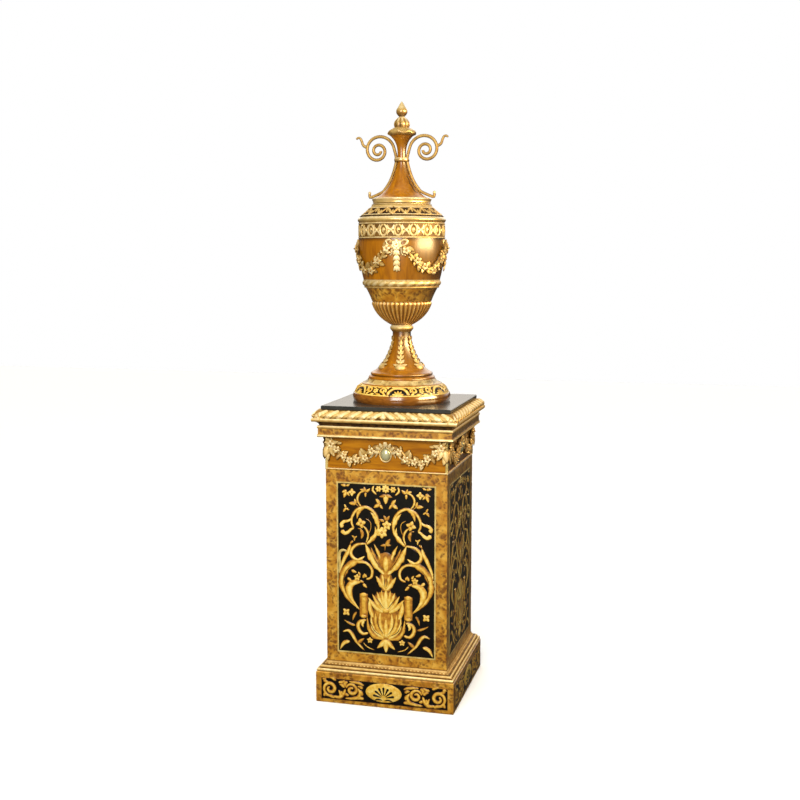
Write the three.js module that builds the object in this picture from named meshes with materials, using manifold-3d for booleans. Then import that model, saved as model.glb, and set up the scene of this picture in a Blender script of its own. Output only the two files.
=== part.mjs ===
// A lidded vase of turned and veneered wood with gilt mounts, standing on its square pedestal.
// Millimetres, +Z up. The origin is the middle of the underside and the front faces -Y.
import * as THREE from "three";
import { mergeVertices } from "three/addons/utils/BufferGeometryUtils.js";
import Module from "manifold-3d";

const wasm = await Module();
wasm.setup();

// Pedestal: half widths, and heights above the floor
const PLINTH_HALF = 210;
const PLINTH_TOP = 93.5;
const SHAFT_HALF = 183;
const SHAFT_FOOT = 121.5;
const SHAFT_TOP = 703;
const FILLET_HALF = 184.5;
const FRIEZE_HALF = 182;
const FRIEZE_FOOT = 707;
const FASCIA_HALF = 203;
const FASCIA_FOOT = 800.5;
const FASCIA_TOP = 834.5;
const RECESS_HALF = 208;
const BED_HALF = 217;
const BED_FOOT = 847;
const BED_TOP = 857;
const GADROON_HALF = 220;
const SLAB_HALF = 193.5;
const SLAB_FOOT = 880;
const SLAB_TOP = 892;
const EDGE = 2; // softened arris of the square pieces

// Garlands on the four sides of the frieze
const GARLAND_END = 168; // from the middle of the side
const GARLAND_TOP = 786;
const GARLAND_LOW = 735;
const GARLAND_HALF = 10;
const GARLAND_DEEP = 9;
const BOSS_HIGH = 754;
const BOSS_HALF_WIDE = 16;
const BOSS_HALF_TALL = 20;
const BOSS_DEEP = 9;

// Vase: radii, and heights above the floor
const FOOT_RADIUS = 150;
const BAND_FOOT = 917;
const BAND_RADIUS = 119;
const BAND_TOP = 943;
const FOOT_TOP = 970;
const STEM_LIP = 94;
const FLARE_FOOT = 978;
const FLARE_TOP = 1070;
const STEM_RADIUS = 27.5;
const STEM_TOP = 1100;
const COLLAR_RADIUS = 36.5;
const CUP_FOOT = 1121;
const CUP_FOOT_RADIUS = 34;
const CUP_RADIUS = 90;
const CUP_TOP = 1191;
const CUP_LOBES = 40;
const LOBE_DEPTH = 4;
const GIRDLE_FOOT = 1231;
const GIRDLE_TOP = 1256;
const GIRDLE_SEAT = 107.5;
const GIRDLE_RADIUS = 119.5;
const BODY_FOOT_RADIUS = 114.5;
const BODY_TOP_RADIUS = 128;
const BODY_TOP = 1376;
const GALLERY_SEAT = 122;
const GALLERY_RADIUS = 130;
const MOUTH = 1422;
const WALL = 11;
const LEAF_COUNT = 6;
const LEAF_HALF = 7;
const LEAF_DEEP = 4;
const LEAF_TURN = 10; // degrees from the front to the first leaf on the stem

// Swags and drops on the body
const DROP_HIGH = 1358;
const DROP_LOW = 1283;
const DROP_HALF = 9;
const DROP_DEEP = 5;
const ROSETTE_RADIUS = 17;
const ROSETTE_DEEP = 8;
const SWAG_TOP = 1362;
const SWAG_LOW = 1288;
const SWAG_RADIUS = 7;
const SWAG_END = 11; // degrees from the middle of a rosette to the end of a swag
const MOUNT_TURN = 8; // degrees from the middle of a pedestal side to a rosette, to the right

// Lid, spire and finial
const SPIGOT_RADIUS = 110;
const SPIGOT_FOOT = 1410;
const RIM_SEAT = 117;
const RIM_RADIUS = 131.5;
const RIM_TOP = 1440;
const SHOULDER_RADIUS = 126;
const SHOULDER_TOP_RADIUS = 89;
const SHOULDER_TOP = 1473;
const RING_RADIUS = 91;
const RING_TOP = 1494;
const SPIRE_FOOT_RADIUS = 82;
const NECK_RADIUS = 12.5;
const NECK_FOOT = 1600;
const NECK_TOP = 1625;
const SPIRE_TOP_RADIUS = 34;
const SPIRE_TOP = 1676;
const CLASP_FOOT = 1598;
const CLASP_TOP = 1615;
const CLASP_RADIUS = 23.5;
const DISC_RADIUS = 44;
const DISC_LOBES = 8;
const KNOP_RADIUS = 25;
const BUD_RADIUS = 14.8;
const TIP = 1776;

// Scroll straps on the two sides of the spire
const STRAP_HALF_WIDE = 5;
const STRAP_HALF_THICK = 3.75;
const VOLUTE_REACH = 73; // from the axis to the eye of the volute
const VOLUTE_HIGH = 1634;
const VOLUTE_RADIUS = 41; // at the top of the volute
const VOLUTE_SHRINK = 0.22; // for each quarter turn
const VOLUTE_QUARTERS = 7;

const GAP = 0.3; // between a mount and what it is fixed to
const FLARE_GAP = 0.9; // the same on a flared surface, whose facets stand proud of its curve
const ROUND_SIDES = 24;
const SLIM_SIDES = 16;
const BAR_SIDES = 6;
const BOSS_SIDES = 8;
const CURVE_STEPS = 3;
const FLARE_STEPS = 5;
const DROP_STEPS = 5;
const LEAF_STEPS = 7;
const TENDRIL_STEPS = 8;
const SWAG_STEPS = 10;
const GARLAND_STEPS = 20;
const STRAP_STEPS = 44;
const FACES = ["front", "right", "back", "left"];

function finish(color, roughness, metalness) {
  return new THREE.MeshStandardMaterial({ color, roughness, metalness });
}

const gilt = finish("#d9a94e", 0.32, 1);
const satinwood = finish("#c98422", 0.25, 0);
const burr = finish("#b98a34", 0.35, 0);
const walnut = finish("#8a4a16", 0.2, 0);
const marble = finish("#181a18", 0.12, 0);
const pearl = finish("#b9b48a", 0.3, 0.6);

const vase = new THREE.Group();

function place(name, geometry, material, turn = 0) {
  const mesh = new THREE.Mesh(geometry, material);
  mesh.name = name;
  mesh.rotation.z = turn;
  vase.add(mesh);
}

function outline(r, z) {
  return new THREE.Path().moveTo(r, z);
}

// A turned solid: the outline is drawn as radius and height, up its outside
function turned(path, sides = ROUND_SIDES, steps = CURVE_STEPS) {
  return new THREE.LatheGeometry(path.getPoints(steps), sides).rotateX(Math.PI / 2);
}

// A square solid with the same moulding on its four sides, drawn as half width and height
function squared(path) {
  const corners = path.getPoints(CURVE_STEPS).map((p) => new THREE.Vector2(p.x * Math.SQRT2, p.y));
  return new THREE.LatheGeometry(corners, 4, Math.PI / 4).rotateX(Math.PI / 2);
}

function squareBlock(half, foot, top) {
  return squared(
    outline(0, foot)
      .lineTo(half - EDGE, foot)
      .lineTo(half, foot + EDGE)
      .lineTo(half, top - EDGE)
      .lineTo(half - EDGE, top)
      .lineTo(0, top),
  );
}

// A bar of one section that follows a curve
function bar(points, section, steps) {
  const extrudePath = new THREE.CatmullRomCurve3(points);
  return new THREE.ExtrudeGeometry(section, { steps, extrudePath, bevelEnabled: false });
}

function oval(halfWide, halfThick) {
  const rim = new THREE.EllipseCurve(0, 0, halfWide, halfThick).getPoints(BAR_SIDES);
  return new THREE.Shape(rim.slice(0, BAR_SIDES));
}

// Half an oval, flat on the side that lies against the wood
function halfOval(halfWide, deep) {
  return new THREE.Shape(new THREE.EllipseCurve(0, 0, halfWide, deep, 0, Math.PI).getPoints(4));
}

function solid(geometry) {
  const bare = geometry.clone();
  bare.deleteAttribute("normal");
  bare.deleteAttribute("uv");
  const merged = mergeVertices(bare, 1e-3);
  const corners = [];
  for (let i = 0; i < merged.index.count; i += 3) {
    const [a, b, c] = merged.index.array.slice(i, i + 3);
    if (a !== b && b !== c && c !== a) corners.push(a, b, c);
  }
  const vertProperties = merged.attributes.position.array;
  const triVerts = new Uint32Array(corners);
  return new wasm.Manifold(new wasm.Mesh({ numProp: 3, vertProperties, triVerts }));
}

function joined(first, ...others) {
  return shown(others.reduce((whole, other) => whole.add(solid(other)), solid(first)));
}

function shown(manifold) {
  const mesh = manifold.getMesh();
  const geometry = new THREE.BufferGeometry();
  geometry.setAttribute("position", new THREE.BufferAttribute(mesh.vertProperties, 3));
  geometry.setIndex(new THREE.BufferAttribute(mesh.triVerts, 1));
  geometry.computeVertexNormals();
  return geometry;
}

// Draws a turned surface in between its lobes by up to depth, as far as reach(radius, height) says
function lobed(geometry, count, depth, reach) {
  const position = geometry.attributes.position;
  for (let i = 0; i < position.count; i += 1) {
    const x = position.getX(i);
    const y = position.getY(i);
    const radius = Math.hypot(x, y);
    if (radius === 0) continue;
    const hollow = (1 - Math.cos(count * Math.atan2(x, -y))) / 2;
    const shrink = 1 - (depth * hollow * reach(radius, position.getZ(i))) / radius;
    position.setX(i, x * shrink);
    position.setY(i, y * shrink);
  }
  return geometry;
}

// Pedestal: block, moulded foot, shaft, fillet and frieze
place("plinth_block", squareBlock(PLINTH_HALF, 0, PLINTH_TOP), burr);
place(
  "base_moulding",
  squared(
    outline(0, PLINTH_TOP)
      .lineTo(PLINTH_HALF - 4, PLINTH_TOP)
      .quadraticCurveTo(PLINTH_HALF, PLINTH_TOP + 4, PLINTH_HALF - 5, PLINTH_TOP + 9)
      .lineTo(PLINTH_HALF - 10, PLINTH_TOP + 9)
      .lineTo(PLINTH_HALF - 10, PLINTH_TOP + 17)
      .lineTo(PLINTH_HALF - 15, PLINTH_TOP + 17)
      .quadraticCurveTo(SHAFT_HALF + 3, PLINTH_TOP + 19, SHAFT_HALF + 1, SHAFT_FOOT)
      .lineTo(0, SHAFT_FOOT),
  ),
  gilt,
);
place("shaft", squareBlock(SHAFT_HALF, SHAFT_FOOT, SHAFT_TOP), burr);
place("shaft_fillet", squareBlock(FILLET_HALF, SHAFT_TOP, FRIEZE_FOOT), gilt);
place("frieze", squareBlock(FRIEZE_HALF, FRIEZE_FOOT, FASCIA_FOOT), satinwood);

// Cornice: banded fascia, recess and bed fillet, then the gadrooned frame and the slab
place(
  "cornice",
  squared(
    outline(0, FASCIA_FOOT)
      .lineTo(FASCIA_HALF, FASCIA_FOOT)
      .lineTo(FASCIA_HALF, FASCIA_TOP)
      .lineTo(RECESS_HALF - 8, FASCIA_TOP)
      .quadraticCurveTo(RECESS_HALF - 8, BED_FOOT - 3, RECESS_HALF + 4, BED_FOOT)
      .lineTo(BED_HALF, BED_FOOT)
      .lineTo(BED_HALF, BED_TOP)
      .lineTo(0, BED_TOP),
  ),
  burr,
);
place(
  "gadroon_frame",
  squared(
    outline(0, BED_TOP)
      .lineTo(BED_HALF - 2, BED_TOP)
      .quadraticCurveTo(GADROON_HALF + 3, BED_TOP + 8, GADROON_HALF - 3, BED_TOP + 14)
      .quadraticCurveTo(GADROON_HALF - 8, SLAB_FOOT, SLAB_HALF + 9, SLAB_FOOT)
      .lineTo(0, SLAB_FOOT),
  ),
  gilt,
);
place("top_slab", squareBlock(SLAB_HALF, SLAB_FOOT, SLAB_TOP), marble);

// A garland of two swags on each side of the frieze, with an oval boss under its middle
const garlandHalf = [
  [GARLAND_END, GARLAND_TOP - 6],
  [140, GARLAND_LOW + 24],
  [94, GARLAND_LOW],
  [50, GARLAND_LOW + 26],
  [27, GARLAND_TOP],
];
const garlandLine = [
  ...garlandHalf.map(([x, z]) => [-x, z]),
  [0, GARLAND_TOP + 3],
  ...[...garlandHalf].reverse(),
].map(([x, z]) => new THREE.Vector3(x, -FRIEZE_HALF - GAP, z));
const garlandSection = new THREE.Shape(
  new THREE.EllipseCurve(0, 0, GARLAND_DEEP, GARLAND_HALF, -Math.PI / 2, Math.PI / 2).getPoints(4),
);
const boss = new THREE.LatheGeometry(
  outline(0, 0)
    .lineTo(BOSS_HALF_WIDE, 0)
    .quadraticCurveTo(BOSS_HALF_WIDE, BOSS_DEEP, 0, BOSS_DEEP)
    .getPoints(CURVE_STEPS),
  BOSS_SIDES,
)
  .rotateX(Math.PI)
  .scale(1, 1, BOSS_HALF_TALL / BOSS_HALF_WIDE)
  .translate(0, -FRIEZE_HALF - GAP, BOSS_HIGH);
FACES.forEach((face, quarter) => {
  const turn = (quarter * Math.PI) / 2;
  place(`frieze_garland_${face}`, bar(garlandLine, garlandSection, GARLAND_STEPS), gilt, turn);
  place(`frieze_boss_${face}`, boss, pearl, turn);
});

// Vase foot and stem
place(
  "foot",
  turned(
    outline(0, SLAB_TOP)
      .lineTo(FOOT_RADIUS - 4, SLAB_TOP)
      .quadraticCurveTo(FOOT_RADIUS + 2, (SLAB_TOP + BAND_FOOT) / 2, FOOT_RADIUS - 3, BAND_FOOT)
      .lineTo(FOOT_RADIUS - 6, BAND_FOOT)
      .quadraticCurveTo(BAND_RADIUS + 18, BAND_TOP - 4, BAND_RADIUS, BAND_TOP)
      .lineTo(BAND_RADIUS, BAND_TOP + 3)
      .quadraticCurveTo(BAND_RADIUS - 14, BAND_TOP + 6, STEM_LIP + 5, FOOT_TOP - 10)
      .lineTo(STEM_LIP + 5, FOOT_TOP - 4)
      .lineTo(STEM_LIP, FOOT_TOP)
      .lineTo(0, FOOT_TOP),
  ),
  walnut,
);
const flare = new THREE.QuadraticBezierCurve(
  new THREE.Vector2(STEM_LIP - 4, FLARE_FOOT),
  new THREE.Vector2(48, FLARE_FOOT + 20),
  new THREE.Vector2(STEM_RADIUS, FLARE_TOP),
);
place(
  "stem",
  turned(
    outline(0, FOOT_TOP)
      .lineTo(STEM_LIP - 1, FOOT_TOP)
      .lineTo(STEM_LIP, FOOT_TOP + 4)
      .lineTo(flare.v0.x, flare.v0.y)
      .quadraticCurveTo(flare.v1.x, flare.v1.y, flare.v2.x, flare.v2.y)
      .lineTo(STEM_RADIUS, STEM_TOP)
      .lineTo(0, STEM_TOP),
    SLIM_SIDES,
    FLARE_STEPS,
  ),
  satinwood,
);

// Points just clear of a turned surface, drawn in the plane of +X
function beside(curve, from, to, count, clear) {
  const points = [];
  for (let i = 0; i <= count; i += 1) {
    const t = from + ((to - from) * i) / count;
    const at = curve.getPoint(t);
    const along = curve.getTangent(t);
    points.push(new THREE.Vector3(at.x + along.y * clear, 0, at.y - along.x * clear));
  }
  return points;
}

const leafLine = [
  ...beside(flare, 0.2, 1, 5, FLARE_GAP),
  new THREE.Vector3(STEM_RADIUS + FLARE_GAP, 0, STEM_TOP - 4),
];
for (let i = 0; i < LEAF_COUNT; i += 1) {
  const turn = THREE.MathUtils.degToRad(LEAF_TURN - 90 + (360 / LEAF_COUNT) * i);
  place(`stem_leaf_${i + 1}`, bar(leafLine, halfOval(LEAF_HALF, LEAF_DEEP), LEAF_STEPS), gilt, turn);
}

place(
  "stem_collar",
  turned(
    outline(0, STEM_TOP)
      .lineTo(STEM_RADIUS + 1, STEM_TOP)
      .lineTo(COLLAR_RADIUS - 4, STEM_TOP + 3)
      .quadraticCurveTo(COLLAR_RADIUS + 4, STEM_TOP + 10, COLLAR_RADIUS - 4, STEM_TOP + 18)
      .lineTo(CUP_FOOT_RADIUS - 3, CUP_FOOT)
      .lineTo(0, CUP_FOOT),
    SLIM_SIDES,
  ),
  gilt,
);

// The lobed cup, hollow down to its foot
const cupOutside = lobed(
  turned(
    outline(0, CUP_FOOT)
      .lineTo(CUP_FOOT_RADIUS, CUP_FOOT)
      .quadraticCurveTo(CUP_RADIUS - 12, CUP_FOOT + 24, CUP_RADIUS, CUP_TOP - 7)
      .lineTo(CUP_RADIUS, CUP_TOP)
      .lineTo(0, CUP_TOP),
    CUP_LOBES * 2,
  ),
  CUP_LOBES,
  LOBE_DEPTH,
  (radius, z) => Math.sin((Math.PI * (z - CUP_FOOT)) / (CUP_TOP - CUP_FOOT)),
);
const cupInside = turned(
  outline(0, CUP_FOOT + WALL)
    .lineTo(CUP_FOOT_RADIUS - WALL, CUP_FOOT + WALL)
    .quadraticCurveTo(CUP_RADIUS - 12 - WALL, CUP_FOOT + 24, CUP_RADIUS - WALL, CUP_TOP - 7)
    .lineTo(CUP_RADIUS - WALL, CUP_TOP + WALL)
    .lineTo(0, CUP_TOP + WALL),
);
place("gadroon_cup", shown(solid(cupOutside).subtract(solid(cupInside))), gilt);

// The body: one turned shell from the cup to the mouth
const swell = new THREE.QuadraticBezierCurve(
  new THREE.Vector2(BODY_FOOT_RADIUS, GIRDLE_TOP),
  new THREE.Vector2(BODY_TOP_RADIUS + 3, (GIRDLE_TOP + BODY_TOP) / 2 + 4),
  new THREE.Vector2(BODY_TOP_RADIUS, BODY_TOP),
);
place(
  "vase_body",
  turned(
    outline(CUP_RADIUS - WALL, CUP_TOP)
      .lineTo(CUP_RADIUS - 1, CUP_TOP)
      .quadraticCurveTo(CUP_RADIUS + 6, CUP_TOP + 20, GIRDLE_SEAT, GIRDLE_FOOT)
      .lineTo(GIRDLE_SEAT, GIRDLE_TOP)
      .lineTo(swell.v0.x, swell.v0.y)
      .quadraticCurveTo(swell.v1.x, swell.v1.y, swell.v2.x, swell.v2.y)
      .lineTo(GALLERY_SEAT, BODY_TOP)
      .lineTo(GALLERY_SEAT, MOUTH)
      .lineTo(BODY_TOP_RADIUS - WALL, MOUTH)
      .lineTo(BODY_TOP_RADIUS - WALL, BODY_TOP - 30)
      .lineTo(GIRDLE_SEAT - WALL, GIRDLE_FOOT)
      .lineTo(CUP_RADIUS - WALL, CUP_TOP),
  ),
  satinwood,
);
place(
  "girdle_ring",
  turned(
    outline(GIRDLE_SEAT + GAP, GIRDLE_FOOT + GAP)
      .lineTo(GIRDLE_SEAT + 4, GIRDLE_FOOT + GAP)
      .lineTo(GIRDLE_SEAT + 4, GIRDLE_FOOT + 4)
      .quadraticCurveTo(GIRDLE_RADIUS + 4, GIRDLE_FOOT + 12, GIRDLE_RADIUS - 3, GIRDLE_TOP - 4)
      .lineTo(GIRDLE_RADIUS - 3, GIRDLE_TOP - GAP)
      .lineTo(GIRDLE_SEAT + GAP, GIRDLE_TOP - GAP)
      .lineTo(GIRDLE_SEAT + GAP, GIRDLE_FOOT + GAP),
  ),
  gilt,
);
place(
  "gallery_band",
  turned(
    outline(GALLERY_SEAT + GAP, BODY_TOP + GAP)
      .lineTo(GALLERY_RADIUS, BODY_TOP + GAP)
      .lineTo(GALLERY_RADIUS, BODY_TOP + 6)
      .lineTo(GALLERY_RADIUS - 3, BODY_TOP + 8)
      .lineTo(GALLERY_RADIUS - 3, MOUTH - 7)
      .lineTo(GALLERY_RADIUS - 1, MOUTH - 5)
      .lineTo(GALLERY_RADIUS - 1, MOUTH - GAP)
      .lineTo(GALLERY_SEAT + GAP, MOUTH - GAP)
      .lineTo(GALLERY_SEAT + GAP, BODY_TOP + GAP),
  ),
  gilt,
);

// Rosettes with hanging drops at the four quarters of the body, and a swag from each to the next
function bodyRadius(z) {
  let low = 0;
  let high = 1;
  for (let i = 0; i < 24; i += 1) {
    const middle = (low + high) / 2;
    if (swell.getPoint(middle).y < z) low = middle;
    else high = middle;
  }
  return swell.getPoint(low).x;
}

const dropLine = [DROP_LOW, (DROP_LOW + DROP_HIGH) / 2, DROP_HIGH].map(
  (z) => new THREE.Vector3(bodyRadius(z) + GAP + 0.2, 0, z),
);
const rosette = new THREE.LatheGeometry(
  outline(0, 0)
    .lineTo(ROSETTE_RADIUS, 0)
    .quadraticCurveTo(ROSETTE_RADIUS, ROSETTE_DEEP, 0, ROSETTE_DEEP)
    .getPoints(CURVE_STEPS),
  BOSS_SIDES,
)
  .rotateZ(-Math.PI / 2)
  .translate(bodyRadius(DROP_HIGH) + 2 * GAP, 0, DROP_HIGH);
const rosetteDrop = joined(bar(dropLine, halfOval(DROP_HALF, DROP_DEEP), DROP_STEPS), rosette);

const swagLine = [];
for (let i = 0; i <= SWAG_STEPS; i += 1) {
  const across = (2 * i) / SWAG_STEPS - 1;
  const angle = THREE.MathUtils.degToRad(45 + across * (45 - SWAG_END));
  const z = SWAG_TOP - (SWAG_TOP - SWAG_LOW) * (1 - across * across);
  const radius = bodyRadius(z) + SWAG_RADIUS + 2 * GAP;
  swagLine.push(new THREE.Vector3(radius * Math.cos(angle), radius * Math.sin(angle), z));
}
FACES.forEach((face, quarter) => {
  const turn = (quarter * Math.PI) / 2 - Math.PI / 2 + THREE.MathUtils.degToRad(MOUNT_TURN);
  place(`rosette_drop_${face}`, rosetteDrop, gilt, turn);
  place(`swag_${quarter + 1}`, bar(swagLine, oval(SWAG_RADIUS, SWAG_RADIUS), SWAG_STEPS), gilt, turn);
});

// Lid: gilt rim, sloping shoulder with its spigot in the mouth, and gilt ring
place(
  "lid_rim",
  turned(
    outline(RIM_SEAT + GAP, MOUTH)
      .lineTo(RIM_RADIUS - 4, MOUTH)
      .quadraticCurveTo(RIM_RADIUS + 4, (MOUTH + RIM_TOP) / 2, RIM_RADIUS - 4, RIM_TOP)
      .lineTo(RIM_SEAT + GAP, RIM_TOP)
      .lineTo(RIM_SEAT + GAP, MOUTH),
  ),
  gilt,
);
place(
  "lid_shoulder",
  turned(
    outline(0, MOUTH + 8)
      .lineTo(SPIGOT_RADIUS - 14, MOUTH + 8)
      .lineTo(SPIGOT_RADIUS - WALL, SPIGOT_FOOT)
      .lineTo(SPIGOT_RADIUS, SPIGOT_FOOT)
      .lineTo(SPIGOT_RADIUS, MOUTH)
      .lineTo(RIM_SEAT, MOUTH)
      .lineTo(RIM_SEAT, RIM_TOP)
      .lineTo(SHOULDER_RADIUS, RIM_TOP)
      .quadraticCurveTo(SHOULDER_TOP_RADIUS + 8, RIM_TOP + 18, SHOULDER_TOP_RADIUS, SHOULDER_TOP)
      .lineTo(0, SHOULDER_TOP),
  ),
  satinwood,
);
place(
  "lid_ring",
  turned(
    outline(0, SHOULDER_TOP)
      .lineTo(SHOULDER_TOP_RADIUS - 3, SHOULDER_TOP)
      .lineTo(SHOULDER_TOP_RADIUS - 3, SHOULDER_TOP + 4)
      .quadraticCurveTo(RING_RADIUS + 6, SHOULDER_TOP + 12, SPIRE_FOOT_RADIUS + 3, RING_TOP)
      .lineTo(0, RING_TOP),
  ),
  gilt,
);

// Spire, clasp and finial
const spireFlare = new THREE.QuadraticBezierCurve(
  new THREE.Vector2(SPIRE_FOOT_RADIUS, RING_TOP),
  new THREE.Vector2(30, RING_TOP + 21),
  new THREE.Vector2(NECK_RADIUS, NECK_FOOT),
);
place(
  "spire",
  turned(
    outline(0, RING_TOP)
      .lineTo(spireFlare.v0.x, spireFlare.v0.y)
      .quadraticCurveTo(spireFlare.v1.x, spireFlare.v1.y, spireFlare.v2.x, spireFlare.v2.y)
      .lineTo(NECK_RADIUS, NECK_TOP)
      .quadraticCurveTo(NECK_RADIUS, NECK_TOP + 33, SPIRE_TOP_RADIUS, SPIRE_TOP)
      .lineTo(0, SPIRE_TOP),
    SLIM_SIDES,
    FLARE_STEPS,
  ),
  satinwood,
);
const claspBore = NECK_RADIUS + FLARE_GAP + 2 * STRAP_HALF_THICK + 2 * GAP;
place(
  "spire_clasp",
  turned(
    outline(claspBore, CLASP_FOOT)
      .lineTo(CLASP_RADIUS, CLASP_FOOT)
      .lineTo(CLASP_RADIUS, CLASP_TOP)
      .lineTo(claspBore, CLASP_TOP)
      .lineTo(claspBore, CLASP_FOOT),
    SLIM_SIDES,
  ),
  gilt,
);
place(
  "finial",
  lobed(
    turned(
      outline(0, SPIRE_TOP)
        .lineTo(SPIRE_TOP_RADIUS + 1, SPIRE_TOP)
        .quadraticCurveTo(DISC_RADIUS + 6, SPIRE_TOP + 10, DISC_RADIUS - 8, SPIRE_TOP + 20)
        .lineTo(KNOP_RADIUS - 1, SPIRE_TOP + 26)
        .quadraticCurveTo(KNOP_RADIUS + 3, SPIRE_TOP + 42, BUD_RADIUS - 4, SPIRE_TOP + 56)
        .quadraticCurveTo(BUD_RADIUS + 9, SPIRE_TOP + 74, 0, TIP),
      3 * DISC_LOBES,
    ),
    DISC_LOBES,
    LOBE_DEPTH,
    (radius) => (radius > SPIRE_TOP_RADIUS + 2 ? 1 : 0),
  ),
  gilt,
);

// Scroll straps: a small curl on the ring, up the spire, through the clasp and out into a volute
const strapClear = FLARE_GAP + STRAP_HALF_THICK;
const strapLine = [
  new THREE.Vector3(RING_RADIUS + 8, 0, RING_TOP + 14),
  new THREE.Vector3(RING_RADIUS + 8, 0, RING_TOP + 8),
  new THREE.Vector3(RING_RADIUS + 3, 0, RING_TOP + 4.5),
  ...beside(spireFlare, 0.08, 1, 6, strapClear),
  new THREE.Vector3(NECK_RADIUS + strapClear, 0, CLASP_TOP),
];
for (let step = -4; step <= 4 * VOLUTE_QUARTERS; step += 1) {
  const quarters = step / 4;
  const angle = ((1 - quarters) * Math.PI) / 2;
  const radius = VOLUTE_RADIUS * Math.exp(-VOLUTE_SHRINK * quarters);
  const x = VOLUTE_REACH + radius * Math.cos(angle);
  strapLine.push(new THREE.Vector3(x, 0, VOLUTE_HIGH + radius * Math.sin(angle)));
}
const tendrilLine = [
  [28, 13],
  [39, 15],
  [47, 21],
  [52, 31],
  [56, 39],
  [61, 42],
].map(([x, z]) => new THREE.Vector3(VOLUTE_REACH + x, 0, VOLUTE_HIGH + z));
const strap = joined(
  bar(strapLine, oval(STRAP_HALF_WIDE, STRAP_HALF_THICK), STRAP_STEPS),
  bar(tendrilLine, oval(STRAP_HALF_WIDE - 2, STRAP_HALF_THICK - 1), TENDRIL_STEPS),
);
place("scroll_strap_right", strap, gilt);
place("scroll_strap_left", strap, gilt, Math.PI);

export default vase;
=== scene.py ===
import bisect
import math
import random

import bmesh
import bpy
from mathutils import Matrix, Vector


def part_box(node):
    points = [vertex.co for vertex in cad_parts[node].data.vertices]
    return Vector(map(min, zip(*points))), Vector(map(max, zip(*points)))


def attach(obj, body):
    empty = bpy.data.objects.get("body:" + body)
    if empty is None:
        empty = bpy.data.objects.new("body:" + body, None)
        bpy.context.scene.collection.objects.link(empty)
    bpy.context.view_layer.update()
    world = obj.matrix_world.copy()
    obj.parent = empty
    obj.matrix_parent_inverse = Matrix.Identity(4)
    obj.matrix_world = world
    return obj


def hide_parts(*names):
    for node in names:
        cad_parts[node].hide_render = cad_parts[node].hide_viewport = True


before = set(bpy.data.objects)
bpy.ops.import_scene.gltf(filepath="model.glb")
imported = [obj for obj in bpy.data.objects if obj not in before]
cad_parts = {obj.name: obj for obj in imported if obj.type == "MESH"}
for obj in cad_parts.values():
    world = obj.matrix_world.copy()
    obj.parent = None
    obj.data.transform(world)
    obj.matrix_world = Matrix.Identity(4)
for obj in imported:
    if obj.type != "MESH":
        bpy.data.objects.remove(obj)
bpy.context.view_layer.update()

# Stage: a plain pale floor under soft studio light, and the camera at the photograph's viewing angle.
# A softbox stands in front, a second one at the right only makes reflections, and an even light from
# above keeps the floor pale.
FLOOR_HALF = 9.0
FLOOR_COLOUR = "#f6f6f4"
BACKDROP_COLOUR = "#ffffff"
ROOM_COLOUR = "#fff6ea"
ROOM_GLOW = 0.17
SWEEP_GLOW = 1.8
SWEEP_BEHIND = (0.6, 0.9)
SWEEP_ABOVE = (0.04, 0.16)
DIMMEST = 0.06
SKYLIGHT = 3.1
SKYLIGHT_SPREAD = 60
SOFTBOXES = (
    ("front_softbox", "#fffaf0", (0.1, -2.9, 1.95), (1.2, 1.7), 100, True),
    ("right_softbox", "#ffe0a0", (2.6, -0.5, 1.9), (2.4, 1.0), 380, False),
)
LIGHT_AIM = Vector((0.0, 0.0, 1.0))
CAMERA_AT = (0.8673, -3.3181, 1.3179)
CAMERA_DOWN = 7.09
CAMERA_TURN = 14.737
CAMERA_LENS = 51.27
scene = bpy.context.scene


def placed(name, data):
    """A new object in the scene."""
    made = bpy.data.objects.new(name, data)
    scene.collection.objects.link(made)
    return made


def linear(code):
    """A colour from its sRGB hex code, as linear light."""
    parts = [int(code[i : i + 2], 16) / 255 for i in (1, 3, 5)]
    return (*[c / 12.92 if c <= 0.04045 else ((c + 0.055) / 1.055) ** 2.4 for c in parts], 1.0)


def add(tree, kind, inputs=None, ramp=(), **settings):
    """Adds a shader node with its settings, a colour ramp's stops, and its inputs: plain values, or links
    from a socket or from a node's first output."""
    made = tree.nodes.new("ShaderNode" + kind)
    for name, value in settings.items():
        setattr(made, name, value)
    for name, value in (inputs or {}).items():
        if isinstance(value, bpy.types.Node):
            value = value.outputs[0]
        if isinstance(value, bpy.types.NodeSocket):
            tree.links.new(value, made.inputs[name])
        else:
            made.inputs[name].default_value = value
    for i, (place, code) in enumerate(ramp):
        stops = made.color_ramp.elements
        stop = stops[i] if i < 2 else stops.new(place)
        stop.position = place
        stop.color = linear(code)
    return made


def finish(name, paint, *values):
    """A new material, from a function that adds its nodes and returns the inputs of its shader."""
    made = bpy.data.materials.new(name)
    made.use_nodes = True
    tree = made.node_tree
    tree.nodes.clear()
    shader = add(tree, "BsdfPrincipled", paint(tree, *values))
    add(tree, "OutputMaterial", {"Surface": shader})
    return made


def matt_paper(tree):
    """Matt white paper roll: an even pale floor with hardly any shine."""
    return {"Base Color": linear(FLOOR_COLOUR), "Roughness": 0.9}


floor_mesh = bpy.data.meshes.new("floor")
bm = bmesh.new()
bmesh.ops.create_grid(bm, x_segments=1, y_segments=1, size=FLOOR_HALF)
bm.to_mesh(floor_mesh)
bm.free()
floor_mesh.materials.append(finish("matt white paper", matt_paper))
floor = placed("floor", floor_mesh)
floor.visible_diffuse = False
floor.visible_glossy = False

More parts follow.
